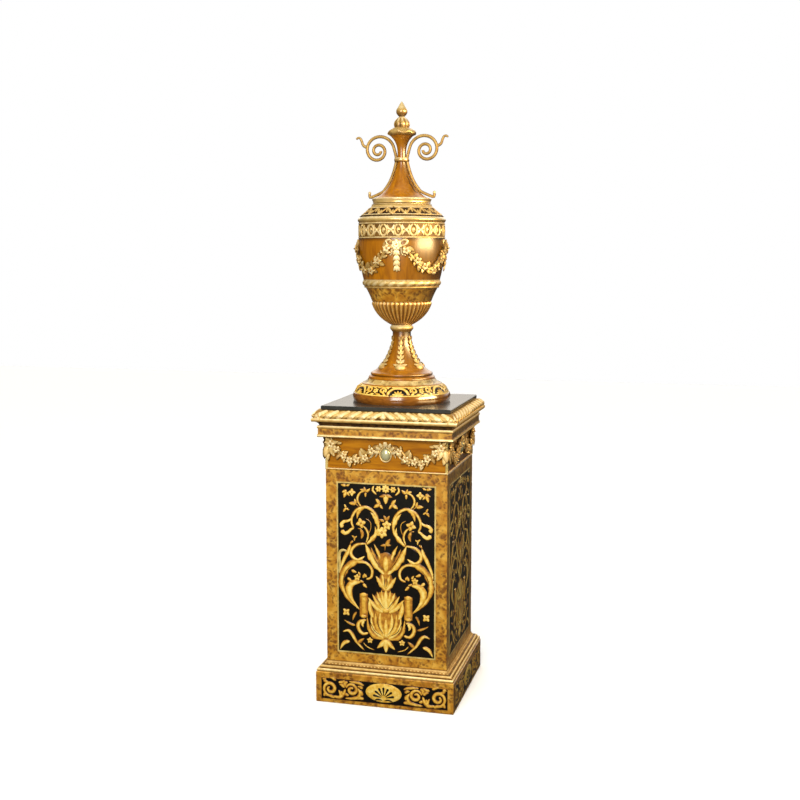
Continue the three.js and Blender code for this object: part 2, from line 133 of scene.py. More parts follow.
world = bpy.data.worlds.new("studio")
world.use_nodes = True
tree = world.node_tree
tree.nodes.clear()
seen = add(tree, "LightPath").outputs
way = add(tree, "SeparateXYZ", {0: add(tree, "TexCoord").outputs["Generated"]}).outputs
low, high = SWEEP_BEHIND
behind = add(tree, "MapRange", {"Value": way["Y"], "From Min": low, "From Max": high})
low, high = SWEEP_ABOVE
above = add(tree, "MapRange", {"Value": way["Z"], "From Min": low, "From Max": high})
sweep = add(tree, "Math", {0: behind, 1: above}, operation="MULTIPLY")
glow = add(tree, "Math", {0: sweep, 1: SWEEP_GLOW, 2: DIMMEST}, operation="MULTIPLY_ADD")
room = add(tree, "Background", {"Color": linear(ROOM_COLOUR), "Strength": ROOM_GLOW})
paper = add(tree, "Background", {"Color": linear(ROOM_COLOUR), "Strength": glow})
backdrop = add(tree, "Background", {"Color": linear(BACKDROP_COLOUR)})
mirrored_room = add(tree, "MixShader", {0: seen["Is Glossy Ray"], 1: room, 2: paper})
studio = add(tree, "MixShader", {0: seen["Is Camera Ray"], 1: mirrored_room, 2: backdrop})
add(tree, "OutputWorld", {"Surface": studio})
scene.world = world
scene.view_settings.view_transform = "Standard"

for name, tint, spot, size, watts, lit in SOFTBOXES:
    lamp = bpy.data.lights.new(name, "AREA")
    lamp.shape = "RECTANGLE"
    lamp.size, lamp.size_y = size
    lamp.color = linear(tint)[:3]
    lamp.energy = watts
    light = placed(name, lamp)
    light.location = spot
    light.rotation_euler = (LIGHT_AIM - Vector(spot)).to_track_quat("-Z", "Y").to_euler()
    light.visible_diffuse = lit
lamp = bpy.data.lights.new("skylight", "SUN")
lamp.energy = SKYLIGHT
lamp.angle = math.radians(SKYLIGHT_SPREAD)
skylight = placed("skylight", lamp)
skylight.visible_glossy = False

camera = placed("camera", bpy.data.cameras.new("camera"))
camera.data.lens = CAMERA_LENS
camera.location = CAMERA_AT
camera.rotation_euler = (math.radians(90 - CAMERA_DOWN), 0.0, math.radians(CAMERA_TURN))
bpy.context.scene.camera = camera

# Plinth block: a square block of softwood veneered with burr walnut, its arrises eased with a plane.
# Each side has a band of marquetry, scrolls of scorched boxwood in an ebonised ground with an oval
# plaque in the middle, sawn from veneer and glued in. Shapes are drawn in millimetres.
MM = 0.001
SIDES = ("front", "right", "back", "left")
CREASE = math.radians(38)
SECTION_SIDES = 8
RINGS_A_SPAN = 3
BAND_HALF = 193
BAND_FOOT = 12
BAND_TOP = 76
BAND_STRING = 1.5
PANEL_THICK = 0.6
INLAY_RISE = 1.1
PLAQUE_HIGH = 46
PLAQUE_HALF = (55, 29)
EBONY_RAMP = [(0.3, "#050403"), (0.75, "#14110b")]
EBONY_SHINE = {"Roughness": 0.35, "Specular IOR Level": 0.35}
INLAY_RAMP = [(0.0, "#4c2a08"), (1.0, "#f6dc7c"), (0.4, "#b4761c"), (0.72, "#e4b440")]


def burr_veneer(tree, low, middle, high, eye):
    """Burr walnut, knife-cut and French polished: golden swirls with clusters of dark eyes."""
    place = add(tree, "TexCoord").outputs["Object"]
    figure = {"Vector": place, "Scale": 1 / (30 * MM), "Detail": 4.0, "Distortion": 0.5}
    swirl = add(tree, "TexNoise", figure)
    ground = add(tree, "ValToRGB", {"Fac": swirl}, ramp=[(0.34, low), (0.7, high), (0.52, middle)])
    bend = {0: swirl.outputs["Color"], 1: (40 * MM, 40 * MM, 40 * MM), 2: place}
    bent = add(tree, "VectorMath", bend, operation="MULTIPLY_ADD")
    eyes = add(tree, "TexVoronoi", {"Vector": bent, "Scale": 1 / (12 * MM)})
    clusters = add(tree, "TexNoise", {"Vector": place, "Scale": 1 / (40 * MM), "Detail": 3.0})
    dark = add(tree, "Math", {0: clusters, 1: eyes}, operation="SUBTRACT")
    share = add(tree, "MapRange", {"Value": dark, "From Min": -0.1, "From Max": 0.32, "To Max": 0.85})
    colour = add(tree, "Mix", {0: share, 6: ground, 7: linear(eye)}, data_type="RGBA").outputs[2]
    return {"Base Color": colour, "Roughness": 0.4, "Coat Weight": 0.4, "Coat Roughness": 0.2}


def figured(tree, size, detail, ramp, shine):
    """A plain wood or stone: its colour wanders through a ramp, in a figure of that many millimetres."""
    place = add(tree, "TexCoord").outputs["Object"]
    figure = add(tree, "TexNoise", {"Vector": place, "Scale": 1 / (size * MM), "Detail": detail})
    return {"Base Color": add(tree, "ValToRGB", {"Fac": figure}, ramp=ramp), **shine}


def relief_shade_and_wear(tree, size, detail, wear, shift):
    """The relief tone of a point, scorching on inlay and painted shade and highlight elsewhere, with a figure
    of that many millimetres rubbed into it as wear.
    """
    relief = add(tree, "Attribute", attribute_name="relief").outputs["Fac"]
    place = add(tree, "TexCoord").outputs["Object"]
    figure = add(tree, "TexNoise", {"Vector": place, "Scale": 1 / (size * MM), "Detail": detail})
    worn = add(tree, "Math", {0: figure, 1: wear, 2: shift}, operation="MULTIPLY_ADD")
    return add(tree, "Math", {0: relief, 1: worn}, operation="ADD")


def scorched_inlay(tree):
    """Boxwood inlay dipped in hot sand: pale yellow in the middle, scorched brown at the edges."""
    colour = add(tree, "ValToRGB", {"Fac": relief_shade_and_wear(tree, 10, 4.0, 0.9, -0.48)}, ramp=INLAY_RAMP)
    return {"Base Color": colour, "Roughness": 0.42, "Coat Weight": 0.2, "Coat Roughness": 0.15}


burr = finish("burr walnut veneer", burr_veneer, "#a86c12", "#c88f28", "#deae46", "#68390a")
inlay = finish("sand-scorched boxwood", scorched_inlay)
# Pear wood stained black and polished: near black, with a faint open grain.
ebony = finish("ebonised pear wood", figured, 6, 3.0, EBONY_RAMP, EBONY_SHINE)


def span(node):
    """Half width, foot and top of a CAD node, in millimetres."""
    low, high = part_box(node)
    return high.x / MM, low.z / MM, high.z / MM


def blank():
    """An empty shape whose points carry a relief tone, mostly how high they stand in their relief. Materials
    turn it into scorching on inlay, painted shade and painted highlight on gilding and silvering, and painted
    shade on turned wood.
    """
    bm = bmesh.new()
    bm.verts.layers.float.new("relief")
    return bm


def join(bm, part):
    """Moves a part into a shape."""
    carrier = bpy.data.meshes.new("carrier")
    part.to_mesh(carrier)
    part.free()
    bm.from_mesh(carrier)
    bpy.data.meshes.remove(carrier)


def spun(bm, degrees):
    """Turns a shape round the upright axis."""
    bmesh.ops.rotate(bm, verts=bm.verts, matrix=Matrix.Rotation(math.radians(degrees), 3, "Z"))
    return bm


def finished(bm, name, materials, nodes=()):
    """Brings a shape to metres, as a piece that rides on the body and stands for those nodes."""
    bmesh.ops.remove_doubles(bm, verts=bm.verts, dist=0.001)
    bmesh.ops.recalc_face_normals(bm, faces=bm.faces)
    bmesh.ops.scale(bm, vec=(MM, MM, MM), verts=bm.verts)
    for face in bm.faces:
        face.smooth = True
    mesh = bpy.data.meshes.new(name)
    bm.to_mesh(mesh)
    bm.free()
    mesh.set_sharp_from_angle(angle=CREASE)
    for material in materials:
        mesh.materials.append(material)
    piece = placed(name, mesh)
    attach(piece, "root")
    if nodes:
        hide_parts(*nodes)


def finished_on_sides(bm, name, materials, node="", turn=0.0):
    """The same piece on each of the four sides, from one drawn on the front, turned in degrees."""
    for quarter, side in enumerate(SIDES):
        nodes = [node + side] if node else []
        finished(spun(bm.copy(), turn + 90 * quarter), f"{name}_{side}", materials, nodes)
    bm.free()


def along(points, share):
    """Place and heading at a share of the way along a smooth line through the points."""
    spans = len(points) - 1
    i = min(int(share * spans), spans - 1)
    t = share * spans - i
    a, b = points[max(i - 1, 0)], points[i]
    c, d = points[i + 1], points[min(i + 2, spans)]
    first = c - a
    second = 2 * a - 5 * b + 4 * c - d
    third = 3 * b - a - 3 * c + d
    place = b + (first * t + second * t**2 + third * t**3) / 2
    heading = (first + second * (2 * t) + third * (3 * t**2)).normalized()
    return place, heading


def leaf_form(wide, lobes=0):
    """Half width of a leaf at each share of its length, with toothed edges if it has lobes."""
    def half(share):
        tooth = 1 - 0.4 * ((lobes * share) % 1) if lobes else 1
        return wide * tooth * math.sin(math.pi * share**0.75)
    return half


def ribbon_form(wide, ends=0.3):
    """Half width of a ribbon that thins towards its ends."""
    return lambda share: wide * (ends + (1 - ends) * math.sin(math.pi * share))


def stroke(bm, points, half, high, rings=0, under=0.15, tones=(0.2, 1.0), crease=0.0, shade=0.0):
    """A closed domed ribbon along a smooth line, drawn flat: across, up, and out of the drawing."""
    line = [Vector((*p, 0.0)) if len(p) == 2 else Vector(p) for p in points]
    rings = rings or max(6, RINGS_A_SPAN * (len(line) - 1))
    spine = [along(line, k / rings) for k in range(rings + 1)]
    wide = half if callable(half) else lambda share: half
    halves = [0.0] + [wide(k / rings) for k in range(1, rings)] + [0.0]
    widest = max(halves)
    part = blank()
    relief = part.verts.layers.float["relief"]
    bmesh.ops.create_uvsphere(part, u_segments=SECTION_SIDES, v_segments=rings, radius=1)
    for v in part.verts:
        k = round(rings * math.acos(max(-1.0, min(1.0, v.co.z))) / math.pi)
        place, heading = spine[k]
        about = math.atan2(v.co.y, v.co.x)
        across = math.cos(about)
        rise = math.sin(about) if halves[k] else 0.0
        ridge = 1 - crease * (1 - abs(across)) if rise > 0 else under
        tall = high * math.sqrt(halves[k] / widest) * rise * ridge
        v[relief] = tones[0] + (tones[1] - tones[0]) * max(rise, 0.0) * (1 - shade * (across > 0.1))
        aside = Vector((-heading.y, heading.x, 0.0)) * (across * halves[k])
        v.co = place + aside + Vector((0.0, 0.0, tall))
    join(bm, part)


def leaf(bm, root, angle, long, wide, high, bend=0.0, lift=(0.0, 0.0), lobes=0, **look):
    """A creased leaf from its root along an angle in degrees, its tip lifted off the ground."""
    way = Vector((math.cos(math.radians(angle)), math.sin(math.radians(angle))))
    aside = Vector((-way.y, way.x)) * bend
    root = Vector(root[:2])
    points = [
        (*root, lift[0]),
        (*(root + way * (long / 2) + aside), (lift[0] + lift[1]) / 2),
        (*(root + way * long), lift[1]),
    ]
    stroke(bm, points, leaf_form(wide, lobes), high, rings=3 * lobes or 6, crease=0.35, **look)


def bead(bm, at, half_wide, half_tall, high, lift=0.0, tones=(0.2, 1.0), fine=12):
    """A domed oval."""
    part = blank()
    relief = part.verts.layers.float["relief"]
    bmesh.ops.create_uvsphere(part, u_segments=fine, v_segments=fine * 2 // 3, radius=1)
    for v in part.verts:
        v[relief] = tones[0] + (tones[1] - tones[0]) * max(v.co.z, 0.0)
        out = lift + high * max(v.co.z, -0.2)
        v.co = (at[0] + half_wide * v.co.x, at[1] + half_tall * v.co.y, out)
    join(bm, part)


def flower(bm, at, radius, high, petals=5, turn=90.0, lift=0.0, plump=0.42, **look):
    """An open flower: petals round a bead."""
    for i in range(petals):
        angle = turn + 360 * i / petals
        leaf(bm, at, angle, radius, plump * radius, high, lift=(lift, lift + 0.3 * high), **look)
    bead(bm, at, 0.26 * radius, 0.26 * radius, 1.5 * high, lift, tones=(0.0, 0.6), fine=9)


def spiral(centre, radius, start, turns, shrink=0.3, steps_a_turn=8):
    """Points of a volute that winds in from a radius; start is in degrees, turns may be negative."""
    points = []
    steps = round(abs(turns) * steps_a_turn)
    for k in range(steps + 1):
        angle = math.radians(start) + math.copysign(2 * math.pi * k / steps_a_turn, turns)
        reach = radius * (1 - (1 - shrink) * k / steps)
        points.append((centre[0] + reach * math.cos(angle), centre[1] + reach * math.sin(angle)))
    return points


def mirrored(bm):
    """Adds the left half of a drawing to its right half."""
    bmesh.ops.mirror(bm, geom=bm.verts[:] + bm.edges[:] + bm.faces[:], axis="X", merge_dist=1e-5)


def lay(bm, line, round_at=0.0, lift=0.0):
    """Lays a flat drawing on a moulded side, or round a turned surface at that radius, whose outline
    of radii and heights is line. Up is measured along the outline from its foot."""
    steps = [math.dist(a[:2], b[:2]) for a, b in zip(line, line[1:])]
    starts = [sum(steps[:i]) for i in range(len(steps))]
    for v in bm.verts:
        across, up, out = v.co
        i = max(bisect.bisect(starts, up) - 1, 0)
        dr = (line[i + 1][0] - line[i][0]) / steps[i]
        dz = (line[i + 1][1] - line[i][1]) / steps[i]
        r = line[i][0] + dr * (up - starts[i]) + dz * (out + lift)
        z = line[i][1] + dz * (up - starts[i]) - dr * (out + lift)
        angle = across / round_at if round_at else 0.0
        v.co = (r * math.sin(angle), -r * math.cos(angle), z) if round_at else (across, -r, z)


def framed_panel(half, foot, top, border):
    """A thin plate let into a side, with a border in the first material round its ground."""
    bm = blank()
    plate = bmesh.ops.create_grid(bm, x_segments=1, y_segments=1, size=1)
    bmesh.ops.scale(bm, vec=(half, (top - foot) / 2, 1), verts=plate["verts"])
    bmesh.ops.translate(bm, vec=(0, (foot + top) / 2, 0), verts=plate["verts"])
    ground = bm.faces[:]
    rim = bmesh.ops.inset_region(bm, faces=ground, thickness=border, use_boundary=True)
    for face in ground:
        face.material_index = 1
    for face in rim["faces"]:
        face.material_index = 0
    bmesh.ops.solidify(bm, geom=bm.faces[:], thickness=-PANEL_THICK)
    return bm


def refinish(node, material):
    """Gives a CAD node its real finish."""
    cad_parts[node].data.materials.clear()
    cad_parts[node].data.materials.append(material)


refinish("plinth_block", burr)
plinth_half, _, plinth_top = span("plinth_block")
plinth_side = [(plinth_half, 0.0), (plinth_half, plinth_top)]
panel = framed_panel(BAND_HALF, BAND_FOOT, BAND_TOP, BAND_STRING)
lay(panel, plinth_side)
finished_on_sides(panel, "plinth_ground", [inlay, ebony])

scrolls = blank()
for points, wide, ends in (
    (spiral((165, 44), 23, 250, 1.5, 0.2), 5.8, 0.5),
    ([(157, 22), (138, 19), (124, 30), (118, 48)], 6.2, 0.3),
    (spiral((98, 46), 19, 10, 1.4, 0.2), 5.6, 0.5),
    ([(81, 54), (73, 40), (79, 25), (96, 20), (120, 18)], 5.8, 0.3),
    ([(60, 62), (72, 68), (88, 70), (108, 71)], 4.6, 0.3),
):
    stroke(scrolls, points, ribbon_form(wide, ends), INLAY_RISE, tones=(0.15, 0.8), shade=0.45)
for root, angle, long in (
    ((118, 52), 75, 22), ((120, 50), 30, 20), ((132, 20), 70, 24), ((136, 22), 110, 20),
    ((66, 30), 60, 22), ((64, 52), 20, 18), ((84, 22), 130, 18), ((140, 66), 160, 22),
    ((146, 70), 20, 24), ((186, 18), 100, 20), ((186, 70), 200, 18), ((150, 16), 10, 32),
    ((110, 68), 330, 16), ((60, 22), 350, 24), ((178, 70), 0, 12), ((118, 34), 200, 12),
):
    leaf(scrolls, root, angle, long, 5.2, INLAY_RISE, bend=3, tones=(0.15, 0.75), shade=0.4)
mirrored(scrolls)
bead(scrolls, (0, PLAQUE_HIGH), *PLAQUE_HALF, 2.2, tones=(0.7, 0.84), fine=36)
lay(scrolls, plinth_side, lift=PANEL_THICK)
finished_on_sides(scrolls, "plinth_scrolls", [inlay])

shell = blank()
for angle in (12, 38, 64, 90):
    way = Vector((math.cos(math.radians(angle)), math.sin(math.radians(angle))))
    rib = [Vector((0, 31)) + way * reach for reach in (6, 20, 34)]
    stroke(shell, rib, lambda share: 0.8 + 3.6 * share, 0.8)
stroke(shell, [(3, 24), (16, 26), (28, 22)], ribbon_form(2.4, 0.3), 0.8)
mirrored(shell)
lay(shell, plinth_side, lift=PANEL_THICK + 2.0)
finished_on_sides(shell, "plinth_plaque_inlay", [ebony])

# Base moulding: a stepped and hollowed moulding of wood, mitred round the foot of the shaft, gessoed
# and gilt, its edges pale with painted highlight and its step and hollow dark with painted shade, with a
# row of small carved beads in the hollow.
SQUARE = len(SIDES)
TURN_SIDES = 96
CURVE_STEPS = 8
BEAD_PITCH = 11
# Gilt colours from the hollows to the tops: patina and painted shade, up to painted highlight.
GILT_RAMP = [(0.0, "#2c1704"), (1.0, "#f6e0ac"), (0.36, "#946a28"), (0.7, "#d0ae66")]


def gilding(tree, ramp, wear, polish, dullest, brightest):
    """Gilding over gesso and cast metal, smooth on the tops: pale there as painted highlight, brown in the
    hollows as patina and painted shade.
    """
    tone = relief_shade_and_wear(tree, 14, 5.0, wear, -0.54 * wear)
    return {
        "Base Color": add(tree, "ValToRGB", {"Fac": tone}, ramp=ramp),
        "Metallic": 0.3,
        "Roughness": add(tree, "MapRange", {"Value": tone, "To Min": dullest, "To Max": brightest}),
        "Coat Weight": polish,
        "Coat Roughness": 0.15,
    }


# Chased gilding is left matt. Burnished gilding is rubbed with agate and varnished, so it shines.
gilt = finish("chased gilding", gilding, GILT_RAMP, 0.5, 0.0, 0.65, 0.42)
burnished = finish("burnished gilding", gilding, GILT_RAMP, 0.3, 0.7, 0.55, 0.32)


def outline(*stretches):
    """Points up an outline, as radius or half width, height and relief tone. A stretch is a point, or a
    curve's handle with its end, and a third number is the relief tone there: low tones paint shade and
    dark joints, and on gilding high tones paint highlight."""
    points = []
    for stretch in stretches:
        curved = isinstance(stretch[0], tuple)
        end = stretch[1] if curved else stretch
        tone = end[2] if len(end) > 2 else 0.8
        if not curved:
            points.append((end[0], end[1], tone))
            continue
        begin, handle = points[-1], stretch[0]
        for step in range(1, CURVE_STEPS + 1):
            t = step / CURVE_STEPS
            weights = ((1 - t) ** 2, 2 * t * (1 - t), t**2)
            r, z = (sum(w * p[k] for w, p in zip(weights, (begin, handle, end))) for k in (0, 1))
            points.append((r, z, begin[2] + (tone - begin[2]) * t))
    return points


def run_of(line):
    """Length of an outline."""
    return sum(math.dist(a[:2], b[:2]) for a, b in zip(line, line[1:]))


def turned(*stretches, sides=TURN_SIDES):
    """Spins an outline into a turned solid, or with four sides into a square one."""
    bm = blank()
    spread = math.sqrt(2) if sides == SQUARE else 1.0
    start = math.pi / 4 if sides == SQUARE else 0.0
    relief = bm.verts.layers.float["relief"]
    rim = []
    for r, z, tone in outline(*stretches):
        rim.append(bm.verts.new((r * spread * math.sin(start), -r * spread * math.cos(start), z)))
        rim[-1][relief] = tone
    edges = [bm.edges.new(pair) for pair in zip(rim, rim[1:])]
    bmesh.ops.spin(
        bm, geom=rim + edges, cent=(0, 0, 0), axis=(0, 0, 1), angle=2 * math.pi, steps=sides,
        use_merge=True,
    )
    return bm


def join_on_sides(bm, part):
    """Moves a part drawn on the front into a shape, four times round."""
    for quarter in range(SQUARE):
        join(bm, spun(part.copy(), 90 * quarter))
    part.free()


shaft_half, _, shaft_top = span("shaft")
_, foot, top = span("base_moulding")
hollow_line = outline(
    (plinth_half - 15, foot + 17, 0.1),
    ((shaft_half + 4, foot + 19), (shaft_half + 2, top - 2, 0.6)),
)
moulding = turned(
    (0, foot),
    (plinth_half - 4, foot, 0.5),
    ((plinth_half + 0.5, foot + 4), (plinth_half - 4, foot + 9, 0.9)),
    (plinth_half - 9, foot + 9, 0.0),
    (plinth_half - 9, foot + 11, 0.4),
    ((plinth_half - 8, foot + 14), (plinth_half - 12, foot + 17, 0.8)),
    *hollow_line,
    (shaft_half + 1, top, 0.4),
    (0, top, 0.4),
    sides=SQUARE,
)
beads = blank()
count = int((plinth_half - 18) / BEAD_PITCH)
for k in range(-count, count + 1):
    bead(beads, (k * BEAD_PITCH, run_of(hollow_line) / 2), 4.2, 2.6, 1.4, tones=(0.1, 0.8), fine=6)
lay(beads, hollow_line)
join_on_sides(moulding, beads)
finished(moulding, "gilt_base_moulding", [gilt], ["base_moulding"])

# Shaft: a tall closed carcase veneered with burr walnut. Each side holds one sheet of arabesque
# marquetry, scrolls, leaves and flowers of scorched boxwood in an ebonised ground, inside a pale string.
PANEL_HALF = 150
PANEL_FOOT = 151
PANEL_TOP = 668
STRING_WIDE = 6
STRING_RAMP = [(0.3, "#b29648"), (0.7, "#dcc47a")]
DIM = (0.05, 0.6)
BRIGHT = (0.35, 1.0)
SCORCHED = (0.0, 0.0)

# Plain boxwood stringing: an even pale yellow line with a soft polish.
boxwood = finish("boxwood stringing", figured, 20, 2.0, STRING_RAMP, {"Roughness": 0.42})
refinish("shaft", burr)
shaft_side = [(shaft_half, 0.0), (shaft_half, shaft_top)]
panel = framed_panel(PANEL_HALF, PANEL_FOOT, PANEL_TOP, STRING_WIDE)
lay(panel, shaft_side)
finished_on_sides(panel, "shaft_panel", [boxwood, ebony])

# The right half of the arabesque: scrolls with the half width of each and of its ends, then leaves from
# root to tip, then what is dark, then flowers. Sprigs and flowers on the middle line come last.
SCROLLS = (
    ([(74, 597), (82, 606), (86, 619), (83, 630), (76, 639), (64, 643)], 3.6, 0.5),
    ([(60, 485), (41, 501), (27, 519), (22, 537), (23, 555), (30, 574), (44, 589), (60, 596), (74, 594),
      (88, 587), (97, 576), (104, 561), (104, 544), (97, 530)], 4.6, 0.7),
    ([(61, 487), (54, 507), (55, 521), (62, 533), (72, 541)], 3.6, 0.4),
    ([(56, 487), (83, 484), (97, 476), (107, 462), (105, 448), (95, 438), (81, 436), (70, 441)], 5.6, 0.4),
    ([(61, 379), (46, 385), (41, 403), (47, 418), (62, 429), (84, 430)], 4.6, 0.6),
    ([(58, 256), (78, 251), (86, 238), (82, 222), (70, 212), (53, 217)], 6.0, 0.5),
    ([(64, 160), (91, 186), (104, 208), (117, 219), (134, 213)], 5.5, 0.25),
    ([(36, 661), (40, 647), (27, 634)], 3.6, 0.4),
    ([(34, 165), (57, 173), (70, 186)], 1.8, 0.5),
)
BLADES = (
    ([(22, 535), (25, 552), (34, 568), (47, 582)], 8.5, 3, BRIGHT),
    ([(59, 484), (41, 502), (30, 520), (33, 541)], 7.5, 3, BRIGHT),
    ([(64, 596), (82, 583), (88, 558)], 7.5, 2, (0.2, 0.8)),
    ([(86, 436), (76, 440), (64, 449)], 4.5, 0, BRIGHT),
    ([(108, 483), (114, 463), (125, 442), (139, 408), (142, 386)], 6.0, 0, BRIGHT),
    ([(60, 431), (92, 430), (120, 411), (135, 384), (135, 352), (116, 316), (78, 282)], 13.0, 5, (0.1, 0.85)),
    ([(75, 370), (100, 366), (113, 350), (112, 330), (103, 311), (80, 285)], 11.0, 0, BRIGHT),
    ([(3, 396), (27, 422), (44, 446), (54, 466), (63, 488)], 13.0, 4, BRIGHT),
    ([(8, 402), (26, 432), (38, 458), (46, 478)], 6.0, 0, DIM),
    ([(8, 418), (18, 448), (27, 470), (37, 488)], 6.5, 2, (0.2, 0.9)),
    ([(0, 350), (12, 364), (22, 378), (31, 392)], 9.0, 3, BRIGHT),
    ([(1, 352), (6, 378), (13, 398)], 7.0, 0, (0.2, 0.9)),
    ([(6, 282), (32, 298), (56, 326)], 8.0, 0, BRIGHT),
    ([(4, 284), (24, 306), (42, 336)], 7.5, 0, (0.2, 0.9)),
    ([(3, 284), (16, 314), (28, 345)], 7.5, 0, BRIGHT),
    ([(2, 284), (8, 318), (14, 351)], 7.0, 0, (0.2, 0.9)),
    ([(38, 262), (48, 290), (51, 320)], 7.5, 0, BRIGHT),
    ([(2, 202), (34, 207), (52, 230), (58, 268)], 9.0, 3, (0.1, 0.75)),
    ([(2, 202), (28, 218), (42, 240), (46, 276)], 8.5, 2, BRIGHT),
    ([(1, 202), (20, 224), (31, 250), (32, 284)], 8.0, 0, (0.15, 0.8)),
    ([(0, 202), (12, 228), (18, 254), (17, 286)], 8.0, 0, BRIGHT),
    ([(66, 252), (73, 243), (69, 232)], 5.0, 0, BRIGHT),
    ([(0, 200), (12, 186), (28, 171)], 8.0, 0, BRIGHT),
    ([(86, 182), (77, 190), (66, 199)], 5.5, 0, DIM),
    ([(111, 186), (130, 179), (142, 158)], 6.0, 0, BRIGHT),
    ([(90, 278), (98, 266), (103, 249)], 4.0, 0, DIM),
    ([(94, 236), (110, 240), (130, 251)], 4.0, 0, DIM),
    ([(77, 529), (71, 514), (76, 499)], 5.5, 0, DIM),
    ([(100, 493), (110, 483)], 3.5, 0, DIM),
    ([(0, 634), (8, 632), (20, 629)], 5.5, 0, DIM),
)
HEARTS = (
    (204, 346, (10, 34, 46, 50, 40, 30, 36, 20)),
    (346, 402, (10, 16, 24, 20, 12)),
    (396, 462, (8, 22, 30, 32, 26, 12)),
)
LIPS = (
    [(101, 562), (114, 552), (127, 549), (136, 540), (131, 531)],
    [(96, 532), (106, 527), (115, 518), (126, 514), (136, 523)],
)
TENDRILS = (
    [(52, 516), (45, 536), (48, 553), (62, 562)],
    [(66, 516), (75, 529), (87, 531)],
    [(82, 596), (86, 600), (93, 604)],
    [(22, 600), (18, 606), (16, 612)],
)
VEINS = (
    [(72, 481), (86, 477), (96, 469)],
    [(104, 419), (124, 396), (130, 362), (119, 328)],
    [(8, 406), (28, 434), (44, 462)],
    [(2, 358), (4, 374), (3, 390)],
    [(3, 290), (20, 314), (34, 330)],
    [(10, 210), (36, 226), (50, 258)],
    [(4, 212), (22, 240), (26, 274)],
)
LEAVES = (
    ((61, 641), 140, 18), ((61, 641), 70, 16), ((62, 642), 20, 18), ((61, 640), 270, 15),
    ((118, 642), 340, 17), ((120, 640), 290, 22), ((118, 638), 235, 14), ((121, 656), 155, 13),
    ((121, 656), 10, 17), ((91, 603), 5, 22), ((91, 603), 75, 17), ((121, 590), 62, 13),
    ((121, 590), 210, 12), ((121, 590), 305, 16), ((18, 606), 52, 21), ((18, 606), 235, 16),
    ((18, 606), 330, 22), ((80, 374), 200, 14), ((70, 366), 225, 18), ((70, 382), 110, 16),
    ((78, 388), 60, 14), ((88, 376), 330, 13), ((106, 404), 200, 18), ((118, 380), 215, 18),
    ((60, 384), 70, 12), ((96, 502), 145, 10), ((96, 502), 40, 11), ((96, 502), 265, 10),
)
FLOWERS = (
    ((76, 547), 16, 4, 75), ((103, 638), 12, 4, 0), ((122, 275), 13, 4, 45), ((49, 194), 10, 5, 90),
    ((88, 383), 11, 5, 20), ((22, 652), 10, 6, 0),
)


def heart_form(*halves):
    """Half width of a broad shape, given at even steps of its length."""
    def half(share):
        place = share * (len(halves) - 1)
        step = min(int(place), len(halves) - 2)
        return halves[step] * (1 - place % 1) + halves[step + 1] * (place % 1)
    return half


def arabesque(bm):
    """The panel's scrolls, leaves and flowers, sawn from scorched boxwood."""
    for foot, top, halves in HEARTS:
        form = heart_form(*halves)
        stroke(bm, [(0, foot), (0, top)], form, 0.5, rings=24, tones=(0.05, 0.5))
    for points, wide, ends in SCROLLS:
        stroke(bm, points, ribbon_form(wide, ends), INLAY_RISE, tones=(0.15, 1.0), shade=0.55)
    for points, wide, lobes, tones in BLADES:
        form = leaf_form(wide, lobes)
        rings = max(8, 4 * lobes, 3 * (len(points) - 1))
        stroke(bm, points, form, INLAY_RISE + 0.3, rings, tones=tones, crease=0.3, shade=0.5)
    for points in LIPS:
        stroke(bm, points, lambda share: 2.6 + 4.2 * share, INLAY_RISE, tones=BRIGHT)
    for points in TENDRILS:
        stroke(bm, points, ribbon_form(1.4, 0.6), INLAY_RISE, tones=DIM)
    for points in VEINS:
        stroke(bm, points, ribbon_form(1.5, 0.3), INLAY_RISE + 0.9, tones=SCORCHED)
    for root, angle, long in LEAVES:
        leaf(bm, root, angle, long, 0.27 * long, INLAY_RISE, bend=0.05 * long, tones=(0.1, 0.85), shade=0.4)
    for at, radius, petals, turn in FLOWERS:
        flower(bm, at, radius, INLAY_RISE, petals, turn, tones=(0.15, 0.95))
    stroke(bm, [(68, 263), (68, 336)], 12.5, 1.3, rings=24, tones=(0.2, 0.5))
    stroke(bm, [(68, 274), (68, 325)], 7.5, 2.0, rings=24, tones=(0.4, 0.7))
    bead(bm, (68, 331), 10, 7, 2.4, tones=(0.3, 0.9))
    bead(bm, (68, 266), 10, 6, 2.4, tones=(0.2, 0.8))
    mirrored(bm)
    flower(bm, (0, 653), 13, INLAY_RISE + 0.3, petals=8)
    leaf(bm, (0, 638), 270, 31, 8, INLAY_RISE)
    for at, angle, long in (
        ((2, 559), 118, 18), ((2, 559), 58, 18), ((0, 486), 55, 24), ((0, 486), 190, 17),
        ((0, 486), 0, 16), ((-4, 556), 160, 18),
    ):
        leaf(bm, at, angle, long, 0.25 * long, INLAY_RISE, tones=DIM)
    stroke(bm, [(-3, 468), (-2, 480), (0, 494)], ribbon_form(1.4, 0.6), INLAY_RISE, tones=DIM)
    flower(bm, (3, 545), 15, INLAY_RISE + 0.3, tones=BRIGHT)
    flower(bm, (-12, 523), 18, INLAY_RISE + 0.3, petals=6, tones=BRIGHT)
    bead(bm, (0, 436), 22, 29, 1.6, tones=(0.05, 0.6), fine=18)
    bead(bm, (0, 430), 9, 26, 2.6, tones=(0.45, 1.0), fine=15)
    leaf(bm, (0, 284), 90, 72, 9, INLAY_RISE + 0.6)
    bead(bm, (0, 288), 11, 8, 2.4, tones=(0.3, 0.9))
    leaf(bm, (0, 204), 90, 62, 8, INLAY_RISE + 1.0)
    bead(bm, (0, 216), 6, 12, 2.8, tones=(0.4, 1.0))
    leaf(bm, (0, 203), 270, 44, 9, INLAY_RISE + 0.6, tones=BRIGHT)


marquetry = blank()
arabesque(marquetry)
lay(marquetry, shaft_side, lift=PANEL_THICK)
finished_on_sides(marquetry, "shaft_marquetry", [inlay])
